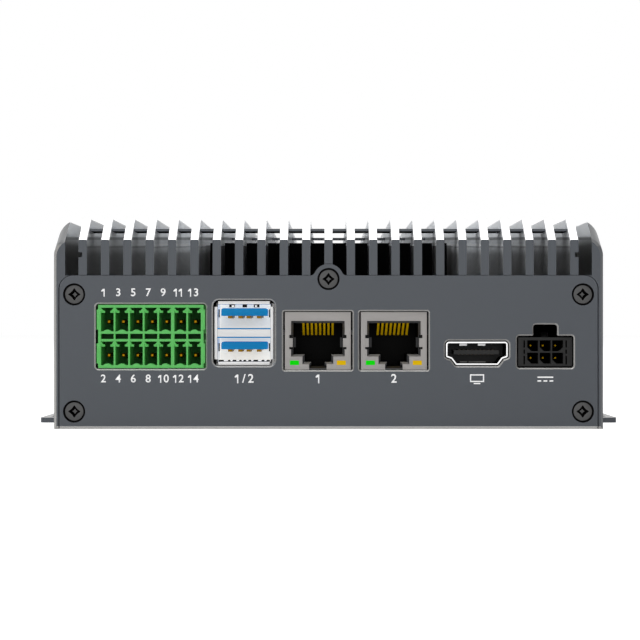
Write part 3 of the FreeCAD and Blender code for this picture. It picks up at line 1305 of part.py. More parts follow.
def main():
    os.makedirs("parts", exist_ok=True)
    screws = front_panel_screws()
    pieces = {
        "heatsink_cover": heatsink_cover(),
        "front_panel": front_panel(),
        "rear_panel": mirror_y(plain_panel()),
        "bottom_cover": bottom_cover(),
        "front_panel_screws": screws,
        "rear_panel_screws": [mirror_y(screw) for screw in screws],
        "bottom_cover_screws": bottom_cover_screws(),
        "main_board": main_board(),
        "board_standoffs": board_standoffs(),
        "board_screws": board_screws(),
        "compute_module_board": compute_module_board(),
        "module_socket": module_socket(),
        "module_posts": module_posts(),
        "module_screws": module_screws(),
        "processor_package": processor_package(),
        "memory_chips": memory_chips(),
        "thermal_pad": thermal_pad(),
        "storage_card": storage_card(),
        "storage_chips": storage_chips(),
        "storage_socket": storage_socket(),
        "storage_post": storage_post(),
        "storage_screw": storage_screw(),
        "battery_holder": battery_holder(),
        "clock_battery": clock_battery(),
        "power_inductors": power_inductors(),
        "capacitors": capacitors(),
        "terminal_block": terminal_block(),
        "terminal_pins": terminal_pins(),
        "double_port_shell": double_port_shell(),
        "double_port_tongues": double_port_tongues(),
        "double_port_contacts": double_port_contacts(),
        "green_light_windows": jack_lights(-1),
        "amber_light_windows": jack_lights(1),
        "video_socket_shell": video_socket_shell(),
        "video_socket_insert": video_socket_insert(),
        "video_socket_foot": video_socket_foot(),
        "video_socket_contacts": video_socket_contacts(),
        "power_inlet_housing": power_inlet_housing(),
        "power_inlet_pins": power_inlet_pins(),
    }
    for side, x in zip(("left", "right"), JACK_XS):
        pieces[side + "_jack_shell"] = jack_shell(x)
        pieces[side + "_jack_insert"] = jack_insert(x)
        pieces[side + "_jack_contacts"] = jack_contacts(x)
    for name, shape in pieces.items():
        save(name, shape)


main()
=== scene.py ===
"""Finish a fanless industrial computer: casting, panels, connectors, board and printed numbers."""
import math

import bmesh
import bpy
from mathutils import Matrix, Vector


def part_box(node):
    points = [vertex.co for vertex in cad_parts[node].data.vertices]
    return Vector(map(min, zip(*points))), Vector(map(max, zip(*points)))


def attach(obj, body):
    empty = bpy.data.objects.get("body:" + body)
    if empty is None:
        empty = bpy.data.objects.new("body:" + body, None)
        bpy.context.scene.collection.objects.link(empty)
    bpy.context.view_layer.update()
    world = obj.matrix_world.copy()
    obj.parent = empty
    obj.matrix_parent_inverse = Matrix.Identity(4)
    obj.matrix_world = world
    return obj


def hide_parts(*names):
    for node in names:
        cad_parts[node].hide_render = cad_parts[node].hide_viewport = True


bl_info = {
    "name": "Fanless Computer Finish",
    "version": (1, 0, 0),
    "blender": (4, 5, 0),
    "location": "View3D > Sidebar > Computer",
    "description": "Finishes a fanless industrial computer on its solid model",
    "category": "Object",
}

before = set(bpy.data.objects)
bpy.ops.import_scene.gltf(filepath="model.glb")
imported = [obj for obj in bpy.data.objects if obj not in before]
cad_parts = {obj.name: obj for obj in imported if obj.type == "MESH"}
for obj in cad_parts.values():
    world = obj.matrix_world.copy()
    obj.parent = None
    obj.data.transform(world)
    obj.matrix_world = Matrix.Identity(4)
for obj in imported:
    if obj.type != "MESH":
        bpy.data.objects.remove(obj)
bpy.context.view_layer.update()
# Sizes are in millimetres where they are named, and MM turns them into the scene's metres.
MM = 0.001


def in_millimetres(corners):
    return [Vector(corner) / MM for corner in corners]


HOUSING_HIGH = in_millimetres(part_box("heatsink_cover"))[1]
PANEL_LOW, PANEL_HIGH = in_millimetres(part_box("front_panel"))
FACE = PANEL_LOW.y


def colour_property(name, description, default):
    return bpy.props.FloatVectorProperty(name=name, description=description, subtype="COLOR", size=4,
                                         min=0.0, max=1.0, default=default)


def screen(red, green, blue):
    """Scene colour of a colour given as it shows on a screen, 0 to 255."""
    def channel(value):
        share = value / 255
        return share / 12.92 if share <= 0.04045 else ((share + 0.055) / 1.055) ** 2.4
    return (channel(red), channel(green), channel(blue), 1.0)


class FinishColours(bpy.types.PropertyGroup):
    """Colours that a user would change."""

    housing: colour_property("Housing", "Anodised finish of the casting and the panels", screen(76, 82, 90))
    # Bare metal on the chamfers, its light tone partly a painted highlight; the same colour is a painted
    # highlight on the ears' tops.
    bare_edge_and_highlight: colour_property("Bare edge", "Metal left bare on chamfered edges", screen(170, 169, 167))
    machined: colour_property("Machined slope", "Bright metal on the sloped fin ends", screen(250, 250, 250))
    # Painted shade: near-black matt put where shade falls, on the raised centre between the middle fins and
    # in the other dark places.
    painted_shade: colour_property("Raised centre", "Dark finish between the middle fins", screen(20, 20, 21))
    terminal: colour_property("Terminal block", "Moulded green of the terminal block", screen(108, 232, 112))
    port: colour_property("Port tongues", "Moulded blue of the stacked port", screen(12, 146, 214))
    print: colour_property("Printing", "Ink of the printed numbers", screen(240, 240, 240))


def number_property(name, description, default, **options):
    return bpy.props.FloatProperty(name=name, description=description, default=default, **options)


class StageSizes(bpy.types.PropertyGroup):
    """Camera and lamps."""

    camera_distance: number_property("Camera distance", "From the front face", 0.350, unit="LENGTH")
    camera_height: number_property("Camera height", "Above the underside", 0.0246, unit="LENGTH")
    lens: number_property("Lens", "Focal length in millimetres", 81.8)
    shift_x: number_property("Shift X", "Sideways shift of the view", -0.0133)
    shift_y: number_property("Shift Y", "Upright shift of the view", 0.0109)
    key_power: number_property("Key lamp", "Power of the overhead lamp in watts", 9.0)
    fill_power: number_property("Fill lamp", "Power of the front lamp in watts", 4.6)
    world_level: number_property("World level", "Strength of the even surrounding light", 0.08)


# --- shader maths ------------------------------------------------------------------------------
def joined_by(operation, reflected=False):
    """A method that joins a value and something else by a Math node."""
    def method(self, other):
        return self.math(operation, other, self) if reflected else self.math(operation, self, other)
    return method


class Value:
    """A socket that can be used in an expression."""

    __add__ = joined_by("ADD")
    __radd__ = joined_by("ADD", reflected=True)
    __sub__ = joined_by("SUBTRACT")
    __rsub__ = joined_by("SUBTRACT", reflected=True)
    __mul__ = joined_by("MULTIPLY")
    __rmul__ = joined_by("MULTIPLY", reflected=True)
    __truediv__ = joined_by("DIVIDE")
    maximum = joined_by("MAXIMUM")

    def __init__(self, surface, socket):
        self.surface = surface
        self.socket = socket

    def math(self, operation, first, second=0.0):
        return self.surface.node("ShaderNodeMath", {"operation": operation}, {0: first, 1: second})

    def __abs__(self):
        return self.math("ABSOLUTE", self)

    def above(self, edge, soft):
        """0 below an edge, 1 above it, blending over a soft width."""
        settings = {"interpolation_type": "SMOOTHSTEP"}
        sockets = {0: self, 1: edge - soft / 2, 2: edge + soft / 2, 3: 0.0, 4: 1.0}
        return self.surface.node("ShaderNodeMapRange", settings, sockets)

    def below(self, edge, soft):
        return 1 - self.above(edge, soft)

    def between(self, low, high, soft):
        return self.above(low, soft) * self.below(high, soft)


class Surface:
    """A material being built: its node tree and its shader."""

    def __init__(self, name, **uniform):
        self.material = bpy.data.materials.new(name)
        self.material.use_nodes = True
        self.tree = self.material.node_tree
        self.tree.nodes.clear()
        self.output = self.tree.nodes.new("ShaderNodeOutputMaterial")
        self.shader = self.tree.nodes.new("ShaderNodeBsdfPrincipled")
        self.tree.links.new(self.shader.outputs[0], self.output.inputs["Surface"])
        for socket, value in uniform.items():
            title = socket.replace("_", " ").title().replace("Ior", "IOR")
            self.shader.inputs[title].default_value = value

    def node(self, kind, settings=None, sockets=None, output=0):
        """Add a node: its settings first, then the values or links of its sockets."""
        made = self.tree.nodes.new(kind)
        for name, value in (settings or {}).items():
            setattr(made, name, value)
        for key, value in (sockets or {}).items():
            if isinstance(value, Value):
                self.tree.links.new(value.socket, made.inputs[key])
            elif value is not None:
                made.inputs[key].default_value = value
        return Value(self, made.outputs[output])

    def feed(self, socket, value):
        self.tree.links.new(value.socket, self.shader.inputs[socket])

    def place(self):
        """X, Y and Z on the object, in millimetres."""
        coordinates = self.node("ShaderNodeTexCoord", output="Object")
        return [self.node("ShaderNodeSeparateXYZ", None, {0: coordinates}, axis) / MM for axis in range(3)]

    def facing(self):
        """X, Y and Z of the surface's normal."""
        normal = self.node("ShaderNodeNewGeometry", output="Normal")
        return [self.node("ShaderNodeSeparateXYZ", None, {0: normal}, axis) for axis in range(3)]

    def noise(self, size, detail=3.0, roughness=0.55, stretch=(1, 1, 1)):
        """Noise from 0 to 1 whose lumps are about one size, in millimetres."""
        coordinates = self.node("ShaderNodeTexCoord", output="Object")
        scale = [1 / (size * MM * axis) for axis in stretch]
        mapped = self.node("ShaderNodeMapping", None, {"Vector": coordinates, "Scale": scale})
        return self.node("ShaderNodeTexNoise", None, {"Vector": mapped, "Scale": 1.0, "Detail": detail,
                                                      "Roughness": roughness})

    def mix(self, share, first, second):
        """Blend two colours by a share from 0 to 1."""
        return self.node("ShaderNodeMix", {"data_type": "RGBA"}, {0: share, 6: first, 7: second}, 2)

    def shade(self, colour, amount):
        """Multiply a colour by an amount."""
        first = colour[:3] if isinstance(colour, tuple) else colour
        return self.node("ShaderNodeVectorMath", {"operation": "SCALE"}, {0: first, "Scale": amount})

    def attribute(self, name):
        """A number stored on the mesh."""
        return self.node("ShaderNodeAttribute", {"attribute_name": name}, output="Fac")

    def matt_where(self, share, colour):
        """Show plain matt colour instead where a share from 0 to 1 is high."""
        matt = self.node("ShaderNodeBsdfDiffuse", None, {"Color": colour})
        glossy = Value(self, self.shader.outputs[0])
        both = self.node("ShaderNodeMixShader", None, {0: share, 1: glossy, 2: matt})
        self.tree.links.new(both.socket, self.output.inputs["Surface"])

    def bump(self, height, distance):
        """Relief of a height from 0 to 1 over a distance in millimetres."""
        relief = self.node("ShaderNodeBump", None, {"Distance": distance * MM, "Height": height})
        self.feed("Normal", relief)


def spread(middle, noise, range_):
    """A value that varies round its middle with a noise."""
    return middle - range_ / 2 + noise * range_


# --- materials ---------------------------------------------------------------------------------
# Black for painted shade deep inside things.
DEEP_BLACK = (0.004, 0.004, 0.004, 1.0)
EVEN_GRAIN = (0.4, 0.4, 0.4)
SHELL_LINES = (6.0, 0.08, 0.08)
UPRIGHT_LINES = (0.3, 0.3, 3.0)
LENGTHWISE_LINES = (0.3, 3.0, 0.3)


def anodised(name, colours, find_shares):
    """Satin anodised aluminium with fine grain; shares from 0 to 1 say where bare and machined metal, painted
    light and painted shade show.
    """
    surface = Surface(name)
    grain = surface.noise(0.12, 2.0)
    cloud = surface.noise(14.0, 3.0)
    tint = surface.shade(tuple(colours.housing), spread(1.0, cloud, 0.05) * spread(1.0, grain, 0.06))
    shares = find_shares(surface)
    if "flank" in shares:
        # Painted light on the fins' flanks: a grey scaled up or down by the lift.
        tint = surface.shade(surface.mix(shares["flank"], tint, FLANK_GREY), shares["lift"])
    tint = surface.mix(shares["edge"], tint, tuple(colours.bare_edge_and_highlight))
    metallic = shares["edge"] * 0.35
    if "slope" in shares:
        tint = surface.mix(shares["slope"], tint, tuple(colours.machined))
        metallic = metallic.maximum(shares["slope"])
    if "dark" in shares:
        # Painted shade: plain near-black matt where the dark share is high.
        surface.matt_where(shares["dark"], tuple(colours.painted_shade))
    surface.feed("Base Color", tint)
    surface.feed("Metallic", metallic)
    surface.feed("Roughness", spread(0.34, grain, 0.12) - shares["edge"] * 0.08)
    surface.bump(grain, 0.006)
    return surface.material


# Places on the casting are in millimetres from its middle and its underside. The fins' flanks get
# painted light: each step of it has a height, a blend and a gain, and each darker band of painted shade
# a start, an end, a blend and a share. FLANK_LEAN raises both towards the middle of a fin's length.
DECK_TOP = 37.5
FIN_END = 54.7
FIN_AREA_SIDE = 65.0
FLANK_GREY = screen(87, 88, 89)
FLANK_STREAKS = (40.0, 9.0, 0.9)
FLANK_LEVEL = 1.4
FLANK_STEPS = ((42.5, 1.8, 2.2), (44.1, 0.5, 3.1), (46.3, 0.5, 3.8))
FLANK_BANDS = ((45.55, 46.2, 0.35, 0.72), (43.6, 44.0, 0.3, 0.5))
FLANK_LEAN = 0.06
MIDDLE_FINS_SIDE, MIDDLE_FINS_BLEND = 42.0, 24.0
MIDDLE_GAIN, MIDDLE_LOW_GAIN = 0.2, 1.5
LOW_PART_TOP = 44.4
CENTRE_SIDE, CENTRE_END, CENTRE_TOP = 29.7, 41.2, 45.7
SHADOW_SIDE, SHADOW_TOP, SHADOW_DEPTH = 30.5, 44.15, 0.94
WIDE_SHADOW_SIDE, WIDE_SHADOW_END = 32.5, 36.0
END_SLOT_SIDE, END_SLOT_TOP = 60.5, 46.2
SLOPE_UP, SLOPE_ALONG, SLOPE_SIDE = 0.768, 0.641, 61.0
END_CHAMFER, FIN_FRONT_TOP = 0.72, 44.5
SHOULDER_SIDE, SHOULDER_FOOT = 60.9, 44.0
TIE_FOOT = 46.0
NOTCH_SIDES, NOTCH_HEIGHTS = (59.3, 60.4), (41.45, 42.55)


def flank_light(surface):
    """How much painted light the fins' flanks get: more in steps up to the tips, with streaks of painted
    reflection and darker bands of painted shade.
    """
    x, y, z = surface.place()
    rise = z - (HOUSING_HIGH.y - abs(y)) * FLANK_LEAN
    level = FLANK_LEVEL
    for height, soft, gain in FLANK_STEPS:
        level = level + rise.above(height, soft) * gain
    low_gain = rise.below(LOW_PART_TOP, 0.8) * MIDDLE_LOW_GAIN
    level = level * (1 + abs(x).below(MIDDLE_FINS_SIDE, MIDDLE_FINS_BLEND) * (MIDDLE_GAIN + low_gain))
    lit = 1
    for low, high, soft, share in FLANK_BANDS:
        lit = lit - rise.between(low, high, soft) * share
    level = level * lit
    # Painted shadow of the raised centre on the flanks of the fins beside it.
    beside = abs(x).below(WIDE_SHADOW_SIDE, 0.3) * abs(y).below(WIDE_SHADOW_END, 12.0)
    shadow = rise.below(SHADOW_TOP, 0.2) * abs(x).below(SHADOW_SIDE, 0.3).maximum(beside)
    level = level * (1 - shadow * SHADOW_DEPTH)
    streaks = surface.noise(1.0, 2.0, 0.5, FLANK_STREAKS)
    return (spread(1.0, streaks, 0.6) * level).maximum(0.0)


def bare_ends(surface):
    """1 on the bare chamfer round each end, whose light tone is partly a painted highlight, less where it
    faces right, as painted shade, and 0.45 on the shoulders of the side walls, which makes them lighter.
    """
    x, y, z = surface.place()
    across, along, _ = surface.facing()
    end = abs(y).above(HOUSING_HIGH.y - END_CHAMFER, 0.05) * z.below(FIN_FRONT_TOP, 0.4)
    # Painted shade: the chamfers that face right, away from the light, keep little of the light tone.
    chamfer = abs(along).between(0.55, 0.88, 0.1) * end * (1 - across.above(0.4, 0.1) * 0.8)
    shoulder = abs(x).above(SHOULDER_SIDE, 0.3) * z.above(SHOULDER_FOOT, 0.5)
    shoulder = shoulder * abs(along).above(0.3, 0.2) * abs(along).below(0.95, 0.06)
    return chamfer.maximum(shoulder * 0.45)


def dark_places(surface):
    """Painted shade on the raised centre, the undersides of the ties and the notches beside the end fins."""
    x, y, z = surface.place()
    up = surface.facing()[2]
    centre = abs(x).below(CENTRE_SIDE, 0.1) * abs(y).below(CENTRE_END, 0.1) * z.below(CENTRE_TOP, 0.1)
    ties = up.below(-0.9, 0.05) * z.above(TIE_FOOT, 0.1)
    notches = abs(x).between(*NOTCH_SIDES, 0.05) * z.between(*NOTCH_HEIGHTS, 0.05)
    return centre.maximum(ties * 0.93).maximum(notches * 0.95)


def casting_shares(surface):
    """Painted light on the flanks, machined fin slopes, bare ends and painted shade in the dark places of the
    casting.
    """
    x, y, z = surface.place()
    across, along, up = surface.facing()
    flank = abs(across).above(0.9, 0.1) * z.above(DECK_TOP, 0.5)
    flank = flank * abs(y).below(FIN_END, 0.1) * abs(x).below(FIN_AREA_SIDE, 0.2)
    # The corner slots beside the outer walls get painted shade instead of the flanks' painted light.
    corner = abs(x).above(END_SLOT_SIDE, 0.2) * z.below(END_SLOT_TOP, 4.0)
    lift = 1 + flank * (flank_light(surface) * (1 - corner) - corner * 0.8)
    tilt = up * SLOPE_UP + abs(along) * SLOPE_ALONG
    slope = tilt.above(0.6, 0.06) * up.above(0.3, 0.1)
    slope = slope * abs(along).above(0.2, 0.1) * abs(x).below(SLOPE_SIDE, 0.3)
    return {"slope": slope, "edge": bare_ends(surface), "dark": dark_places(surface), "flank": flank,
            "lift": lift}


EAR_GAP = 0.1
PANEL_FOOT_TOP = 0.9
PANEL_CLEAR_SIDE, PANEL_CLEAR_HEIGHTS = 57.7, (8.0, 27.5)
MIDDLE_SCREW_SIDE, MIDDLE_SCREW_FOOT = 4.0, 32.8
CUT_OUTS_SIDE, CUT_OUTS_HEIGHTS = 60.0, (12.6, 34.5)


def panel_shares(surface):
    """Bare chamfers round the cut-outs and along the foot, with a painted highlight on the foot, and painted
    shade in the screw holes and on the cut-out walls.
    """
    x, y, z = surface.place()
    along = surface.facing()[1]
    chamfer = abs(along).between(0.5, 0.9, 0.1) * abs(y).above(1.0 - PANEL_HIGH.y, 0.1)
    middle_screw = abs(x).below(MIDDLE_SCREW_SIDE, 0.1) * z.above(MIDDLE_SCREW_FOOT, 0.1)
    clear = abs(x).below(PANEL_CLEAR_SIDE, 0.1).maximum(z.between(*PANEL_CLEAR_HEIGHTS, 0.1))
    foot = z.below(PANEL_FOOT_TOP, 0.1)
    bare = (clear * (1 - middle_screw)).maximum(foot)
    # Painted shade in the screw holes' countersinks and on the walls of the cut-outs.
    sunk = abs(along).between(0.3, 0.95, 0.05) * (1 - bare)
    wall = abs(along).below(0.3, 0.1) * z.between(*CUT_OUTS_HEIGHTS, 0.1) * abs(x).below(CUT_OUTS_SIDE, 0.1)
    # A share of the machined colour on the foot's chamfer is a painted highlight.
    return {"slope": chamfer * foot * 0.2, "edge": chamfer * bare, "dark": sunk.maximum(wall)}


def cover_shares(surface):
    """Painted highlight on top of the mounting ears, which face the light from above."""
    x = surface.place()[0]
    up = surface.facing()[2]
    return {"edge": up.above(0.7, 0.1) * abs(x).above(HOUSING_HIGH.x + EAR_GAP, 0.1) * 0.75}


def inside_shade(surface, start, end, darkest):
    """1 at the front face, falling to a darkest value between two depths behind it."""
    y = surface.place()[1]
    settings = {"interpolation_type": "SMOOTHSTEP"}
    sockets = {0: y, 1: FACE + start, 2: FACE + end, 3: 1.0, 4: darkest}
    return surface.node("ShaderNodeMapRange", settings, sockets)


def moulded(name, colour, roughness=0.4, depth_shade=None, grain_size=0.25, shine=0.5, deep=DEEP_BLACK,
            deep_level=None, sunk=None):
    """Moulded plastic with a faint spark-eroded grain; deep cells and sunk grooves can take painted shade."""
    surface = Surface(name, specular_ior_level=shine)
    grain = surface.noise(grain_size, 2.0)
    amount = spread(1.0, grain, 0.06)
    if depth_shade:
        fall = inside_shade(surface, *depth_shade)
        amount = amount * fall
        share = (1 - fall).maximum(sunk(surface)) if sunk else 1 - fall
        surface.matt_where(share, surface.shade(deep, deep_level(surface)) if deep_level else deep)
    surface.feed("Base Color", surface.shade(colour, amount))
    surface.feed("Roughness", spread(roughness, grain, 0.12))
    surface.bump(grain, 0.008)
    return surface.material


def plated(name, colour, roughness=0.2, metallic=1.0, brushing=SHELL_LINES, depth_shade=None, recess=None,
           glow=0.0):
    """Plated sheet metal with fine rolling lines; what lies deep, rounded edges and marked faces can take
    painted shade, and a glow adds painted light.
    """
    surface = Surface(name, metallic=metallic, emission_strength=glow)
    lines = surface.noise(1.0, 3.0, 0.6, brushing)
    cloud = surface.noise(3.0, 2.0)
    if depth_shade:
        # Painted shade: black on the rounded edges and deep behind the front.
        rounded = abs(surface.facing()[1]).between(0.2, 0.97, 0.04)
        surface.matt_where(rounded.maximum(1 - inside_shade(surface, *depth_shade)), DEEP_BLACK)
    # Painted shade on the faces marked in the mesh.
    if recess:
        surface.matt_where(surface.attribute(recess), DEEP_BLACK)
    tint = surface.shade(colour, spread(1.0, cloud, 0.06))
    surface.feed("Base Color", tint)
    # With a glow above 0 the emission is painted light.
    surface.feed("Emission Color", tint)
    surface.feed("Roughness", spread(roughness, lines, 0.12))
    surface.bump(lines, 0.002)
    return surface.material


ROW_CHANNEL = (21.5, 23.0)
INLET_GROOVE_SIDES, INLET_GROOVE_TOP = (4.8, 5.3), 22.0


def terminal_deep_level(surface):
    """Painted light on the flanks on the left of the cells, and painted shade in the channel between the
    rows.
    """
    z = surface.place()[2]
    across = surface.facing()[0]
    return (1 - z.between(*ROW_CHANNEL, 0.1) * 0.75) * (1 + across.above(0.5, 0.1) * 1.6)


def inlet_grooves(surface):
    """1 in the upright grooves beside the cells, which get painted shade."""
    x, y, z = surface.place()
    low, high = in_millimetres(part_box("power_inlet_housing"))
    grooves = abs(x - (low.x + high.x) / 2).between(*INLET_GROOVE_SIDES, 0.02)
    return grooves * y.above(low.y + 0.04, 0.02) * z.between(low.z, INLET_GROOVE_TOP, 0.02)


def lit_surface(name, colour, strength):
    """Self-lit surface with a faint grain, for the light windows, which glow as lights, and the printing,
    whose glow is painted light.
    """
    surface = Surface(name, roughness=0.4, specular_ior_level=0.1, emission_strength=strength)
    grain = surface.noise(0.4, 1.0)
    tint = surface.shade(colour, spread(1.0, grain, 0.12))
    surface.feed("Base Color", tint)
    surface.feed("Emission Color", tint)
    return surface.material


TRACKS_PER_METRE = 320.0


def circuit_board(name):
    """Green solder mask over faint tracks."""
    surface = Surface(name, coat_weight=0.3)
    place = surface.node("ShaderNodeTexCoord", output="Object")
    tracks = surface.node("ShaderNodeTexVoronoi", {"feature": "DISTANCE_TO_EDGE", "distance": "MANHATTAN"},
                          {"Vector": place, "Scale": TRACKS_PER_METRE})
    line = tracks.below(0.06, 0.04)
    grain = surface.noise(0.3, 2.0)
    tint = surface.mix(line, screen(14, 74, 44), screen(34, 112, 66))
    surface.feed("Base Color", surface.shade(tint, spread(1.0, grain, 0.1)))
    surface.feed("Roughness", spread(0.35, grain, 0.1))
    surface.bump(line, 0.02)
    return surface.material


# --- meshes ------------------------------------------------------------------------------------
def add_object(name, data):
    """A new object in the scene, at the origin."""
    made = bpy.data.objects.new(name, data)
    bpy.context.scene.collection.objects.link(made)
    return made


def new_piece(name, mesh, material, replaced=()):
    """Link a mesh as a piece that rides on the housing and may stand for solid nodes."""
    piece = add_object(name, mesh)
    mesh.materials.clear()
    mesh.materials.append(material)
    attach(piece, "root")
    if replaced:
        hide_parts(*replaced)
    return piece


def mesh_from(bm, name):
    mesh = bpy.data.meshes.new(name)
    bm.to_mesh(mesh)
    bm.free()
    return mesh


def shade_by_angle(bm, degrees=32):
    """Smooth faces, with the sharper edges kept crisp."""
    limit = math.radians(degrees)
    for face in bm.faces:
        face.smooth = True
    for edge in bm.edges:
        sharp = len(edge.link_faces) != 2 or edge.calc_face_angle(0.0) > limit
        edge.smooth = not sharp


WELD_DISTANCE = 0.0005
FLAT_DEGREES = 0.5
EASED_EDGE = 0.06


def merged_copy(node):
    """A welded copy of a solid node's triangles, with flat areas joined up."""
    bm = bmesh.new()
    bm.from_mesh(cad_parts[node].data)
    bmesh.ops.remove_doubles(bm, verts=bm.verts, dist=WELD_DISTANCE * MM)
    bmesh.ops.dissolve_limit(bm, angle_limit=math.radians(FLAT_DEGREES), verts=bm.verts, edges=bm.edges)
    return bm


def soften(bm, width, degrees=35, segments=2):
    """Round the sharp edges by a small width in millimetres."""
    limit = math.radians(degrees)
    edges = [edge for edge in bm.edges if len(edge.link_faces) == 2 and edge.calc_face_angle(0.0) > limit]
    bmesh.ops.bevel(bm, geom=edges, offset=width * MM, offset_type="OFFSET", affect="EDGES",
                    segments=segments, profile=0.5, material=-1, clamp_overlap=True)


def softened_piece(node, name, material, width=EASED_EDGE):
    """A solid node's form with its edges eased, standing for that node."""
    bm = merged_copy(node)
    soften(bm, width)
    shade_by_angle(bm)
    return new_piece(name, mesh_from(bm, name), material, [node])


def paint(node, material):
    """Give a solid node its finish."""
    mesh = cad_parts[node].data
    if not mesh.materials:
        mesh.materials.append(material)
    for index in range(len(mesh.materials)):
        mesh.materials[index] = material


# --- operators ---------------------------------------------------------------------------------
class COMPUTER_OT_housing(bpy.types.Operator):
    """Finish the casting, both end panels and the bottom cover"""

    bl_idname = "computer.housing"
    bl_label = "Housing"

    def execute(self, context):
        colours = context.scene.finish_colours
        paint("heatsink_cover", anodised("anodised_casting", colours, casting_shares))
        panel = anodised("anodised_panel", colours, panel_shares)
        paint("front_panel", panel)
        paint("rear_panel", panel)
        paint("bottom_cover", anodised("anodised_cover", colours, cover_shares))
        return {"FINISHED"}


SCREW_SIDES = 48
HEAD_RADIUS = 2.4
HEAD_LAND = 0.25
HEAD_RIM = 0.2
SHANK_RADIUS = 1.25
RECESS_REACH = 1.95
RECESS_TIP = 1.48
RECESS_SHARPNESS = 0.64
RECESS_DEPTH = 0.9
RECESS_TAPER = 0.4


def star_radius(angle):
    """Reach of the cross recess at an angle: long arms with hollow flanks between them."""
    power = RECESS_SHARPNESS
    total = abs(math.cos(angle)) ** power + abs(math.sin(angle)) ** power
    return min(RECESS_REACH / total ** (1 / power), RECESS_TIP)


def stretch_loop(bm, edges, factor, drop):
    """Extrude a loop of edges, scale it about its axis and move it along -Z."""
    made = bmesh.ops.extrude_edge_only(bm, edges=edges)["geom"]
    verts = [item for item in made if isinstance(item, bmesh.types.BMVert)]
    bmesh.ops.scale(bm, vec=(factor, factor, 1), verts=verts)
    bmesh.ops.translate(bm, vec=(0, 0, -drop * MM), verts=verts)
    return [item for item in made if isinstance(item, bmesh.types.BMEdge)
            and all(vert in verts for vert in item.verts)]


def screw_mesh(length):
    """Countersunk screw along -Z with its flat head at the origin."""
    bm = bmesh.new()
    mark = bm.faces.layers.float.new("recess")
    rim = bmesh.ops.create_circle(bm, segments=SCREW_SIDES, radius=(HEAD_RADIUS - HEAD_RIM) * MM)["verts"]
    recess = bmesh.ops.create_circle(bm, segments=SCREW_SIDES, radius=MM)["verts"]
    for vert in recess:
        angle = math.atan2(vert.co.y, vert.co.x)
        vert.co = Vector((math.cos(angle), math.sin(angle), 0)) * star_radius(angle) * MM
    rim_edges = [edge for edge in bm.edges if edge.verts[0] in rim]
    recess_edges = [edge for edge in bm.edges if edge.verts[0] in recess]
    bmesh.ops.bridge_loops(bm, edges=rim_edges + recess_edges)
    plain = set(bm.faces)
    walls = stretch_loop(bm, recess_edges, RECESS_TAPER, RECESS_DEPTH)
    sides = [face for face in bm.faces if face not in plain]
    bmesh.ops.edgeloop_fill(bm, edges=walls)
    plain = set(bm.faces)
    outer = stretch_loop(bm, rim_edges, HEAD_RADIUS / (HEAD_RADIUS - HEAD_RIM), HEAD_RIM / 2)
    sides += [face for face in bm.faces if face not in plain]
    outer = stretch_loop(bm, outer, 1.0, HEAD_LAND)
    outer = stretch_loop(bm, outer, SHANK_RADIUS / HEAD_RADIUS, HEAD_RADIUS - SHANK_RADIUS)
    outer = stretch_loop(bm, outer, 1.0, length - HEAD_RADIUS + SHANK_RADIUS - HEAD_LAND)
    bmesh.ops.edgeloop_fill(bm, edges=outer)
    bmesh.ops.recalc_face_normals(bm, faces=bm.faces)
    shade_by_angle(bm)
    # The recess walls and the rim round the head are marked for painted shade.
    for face in sides:
        face[mark] = 1.0
    return mesh_from(bm, "screw")


def solid_places(node):
    """Box of each separate solid in a node, in millimetres, from its merged copy."""
    bm = merged_copy(node)
    left = set(bm.verts)
    boxes = []
    while left:
        island = [left.pop()]
        queue = list(island)
        while queue:
            vert = queue.pop()
            for edge in vert.link_edges:
                other = edge.other_vert(vert)
                if other in left:
                    left.remove(other)
                    island.append(other)
                    queue.append(other)
        low = Vector([min(vert.co[axis] for vert in island) / MM for axis in range(3)])
        high = Vector([max(vert.co[axis] for vert in island) / MM for axis in range(3)])
        boxes.append((low, high))
    bm.free()
    return boxes


def join_copies(mesh, matrices, name):
    """One mesh of several placed copies."""
    bm = bmesh.new()
    for matrix in matrices:
        copy = mesh.copy()
        copy.transform(matrix)
        bm.from_mesh(copy)
        bpy.data.meshes.remove(copy)
    return mesh_from(bm, name)


class COMPUTER_OT_screws(bpy.types.Operator):
    """Model the countersunk housing screws with their cross recesses"""

    bl_idname = "computer.screws"
    bl_label = "Housing screws"

    def execute(self, context):
        # Marked recess walls and head rims go black as painted shade.
        black = plated("black_oxide_steel", screen(74, 74, 74), 0.42, 0.4, EVEN_GRAIN, recess="recess")
        turns = {
            "front_panel_screws": (Matrix.Rotation(math.pi / 2, 4, "X"), 1, 0),
            "rear_panel_screws": (Matrix.Rotation(-math.pi / 2, 4, "X"), 1, 1),
            "bottom_cover_screws": (Matrix.Rotation(math.pi, 4, "X"), 2, 0),
        }
        for node, (turn, axis, end) in turns.items():
            boxes = solid_places(node)
            length = boxes[0][1][axis] - boxes[0][0][axis]
            screw = screw_mesh(length)
            matrices = []
            for low, high in boxes:
                place = (low + high) / 2
                place[axis] = (low, high)[end][axis]
                matrices.append(Matrix.Translation(place * MM) @ turn)
            mesh = join_copies(screw, matrices, node)
            new_piece("finished_" + node, mesh, black, [node])
        return {"FINISHED"}


PRINT_HEIGHT = 1.9
MARK_HEIGHT = 2.1
PRINT_PROUD = 0.01
PLATE_THICKNESS = 0.03
PRINT_SHIFT = -0.6
PRINT_ABOVE, PRINT_BELOW = 2.9, 2.2
TERMINAL_COLUMNS = 7
TERMINAL_END_WALLS = 0.26
CAPITAL_SHARE = 0.72
STROKE_WEIGHT = 0.02
FIGURE_ADVANCE, ONES_ADVANCE = 0.8, 0.65
ONE_STEM, ONE_SIDE = 0.135, 0.16
ONE_FLAG = ((1.0, 0.3), (1.0, 0.0), (1.2, 0.0), (3.0, 0.2), (3.0, 0.36))


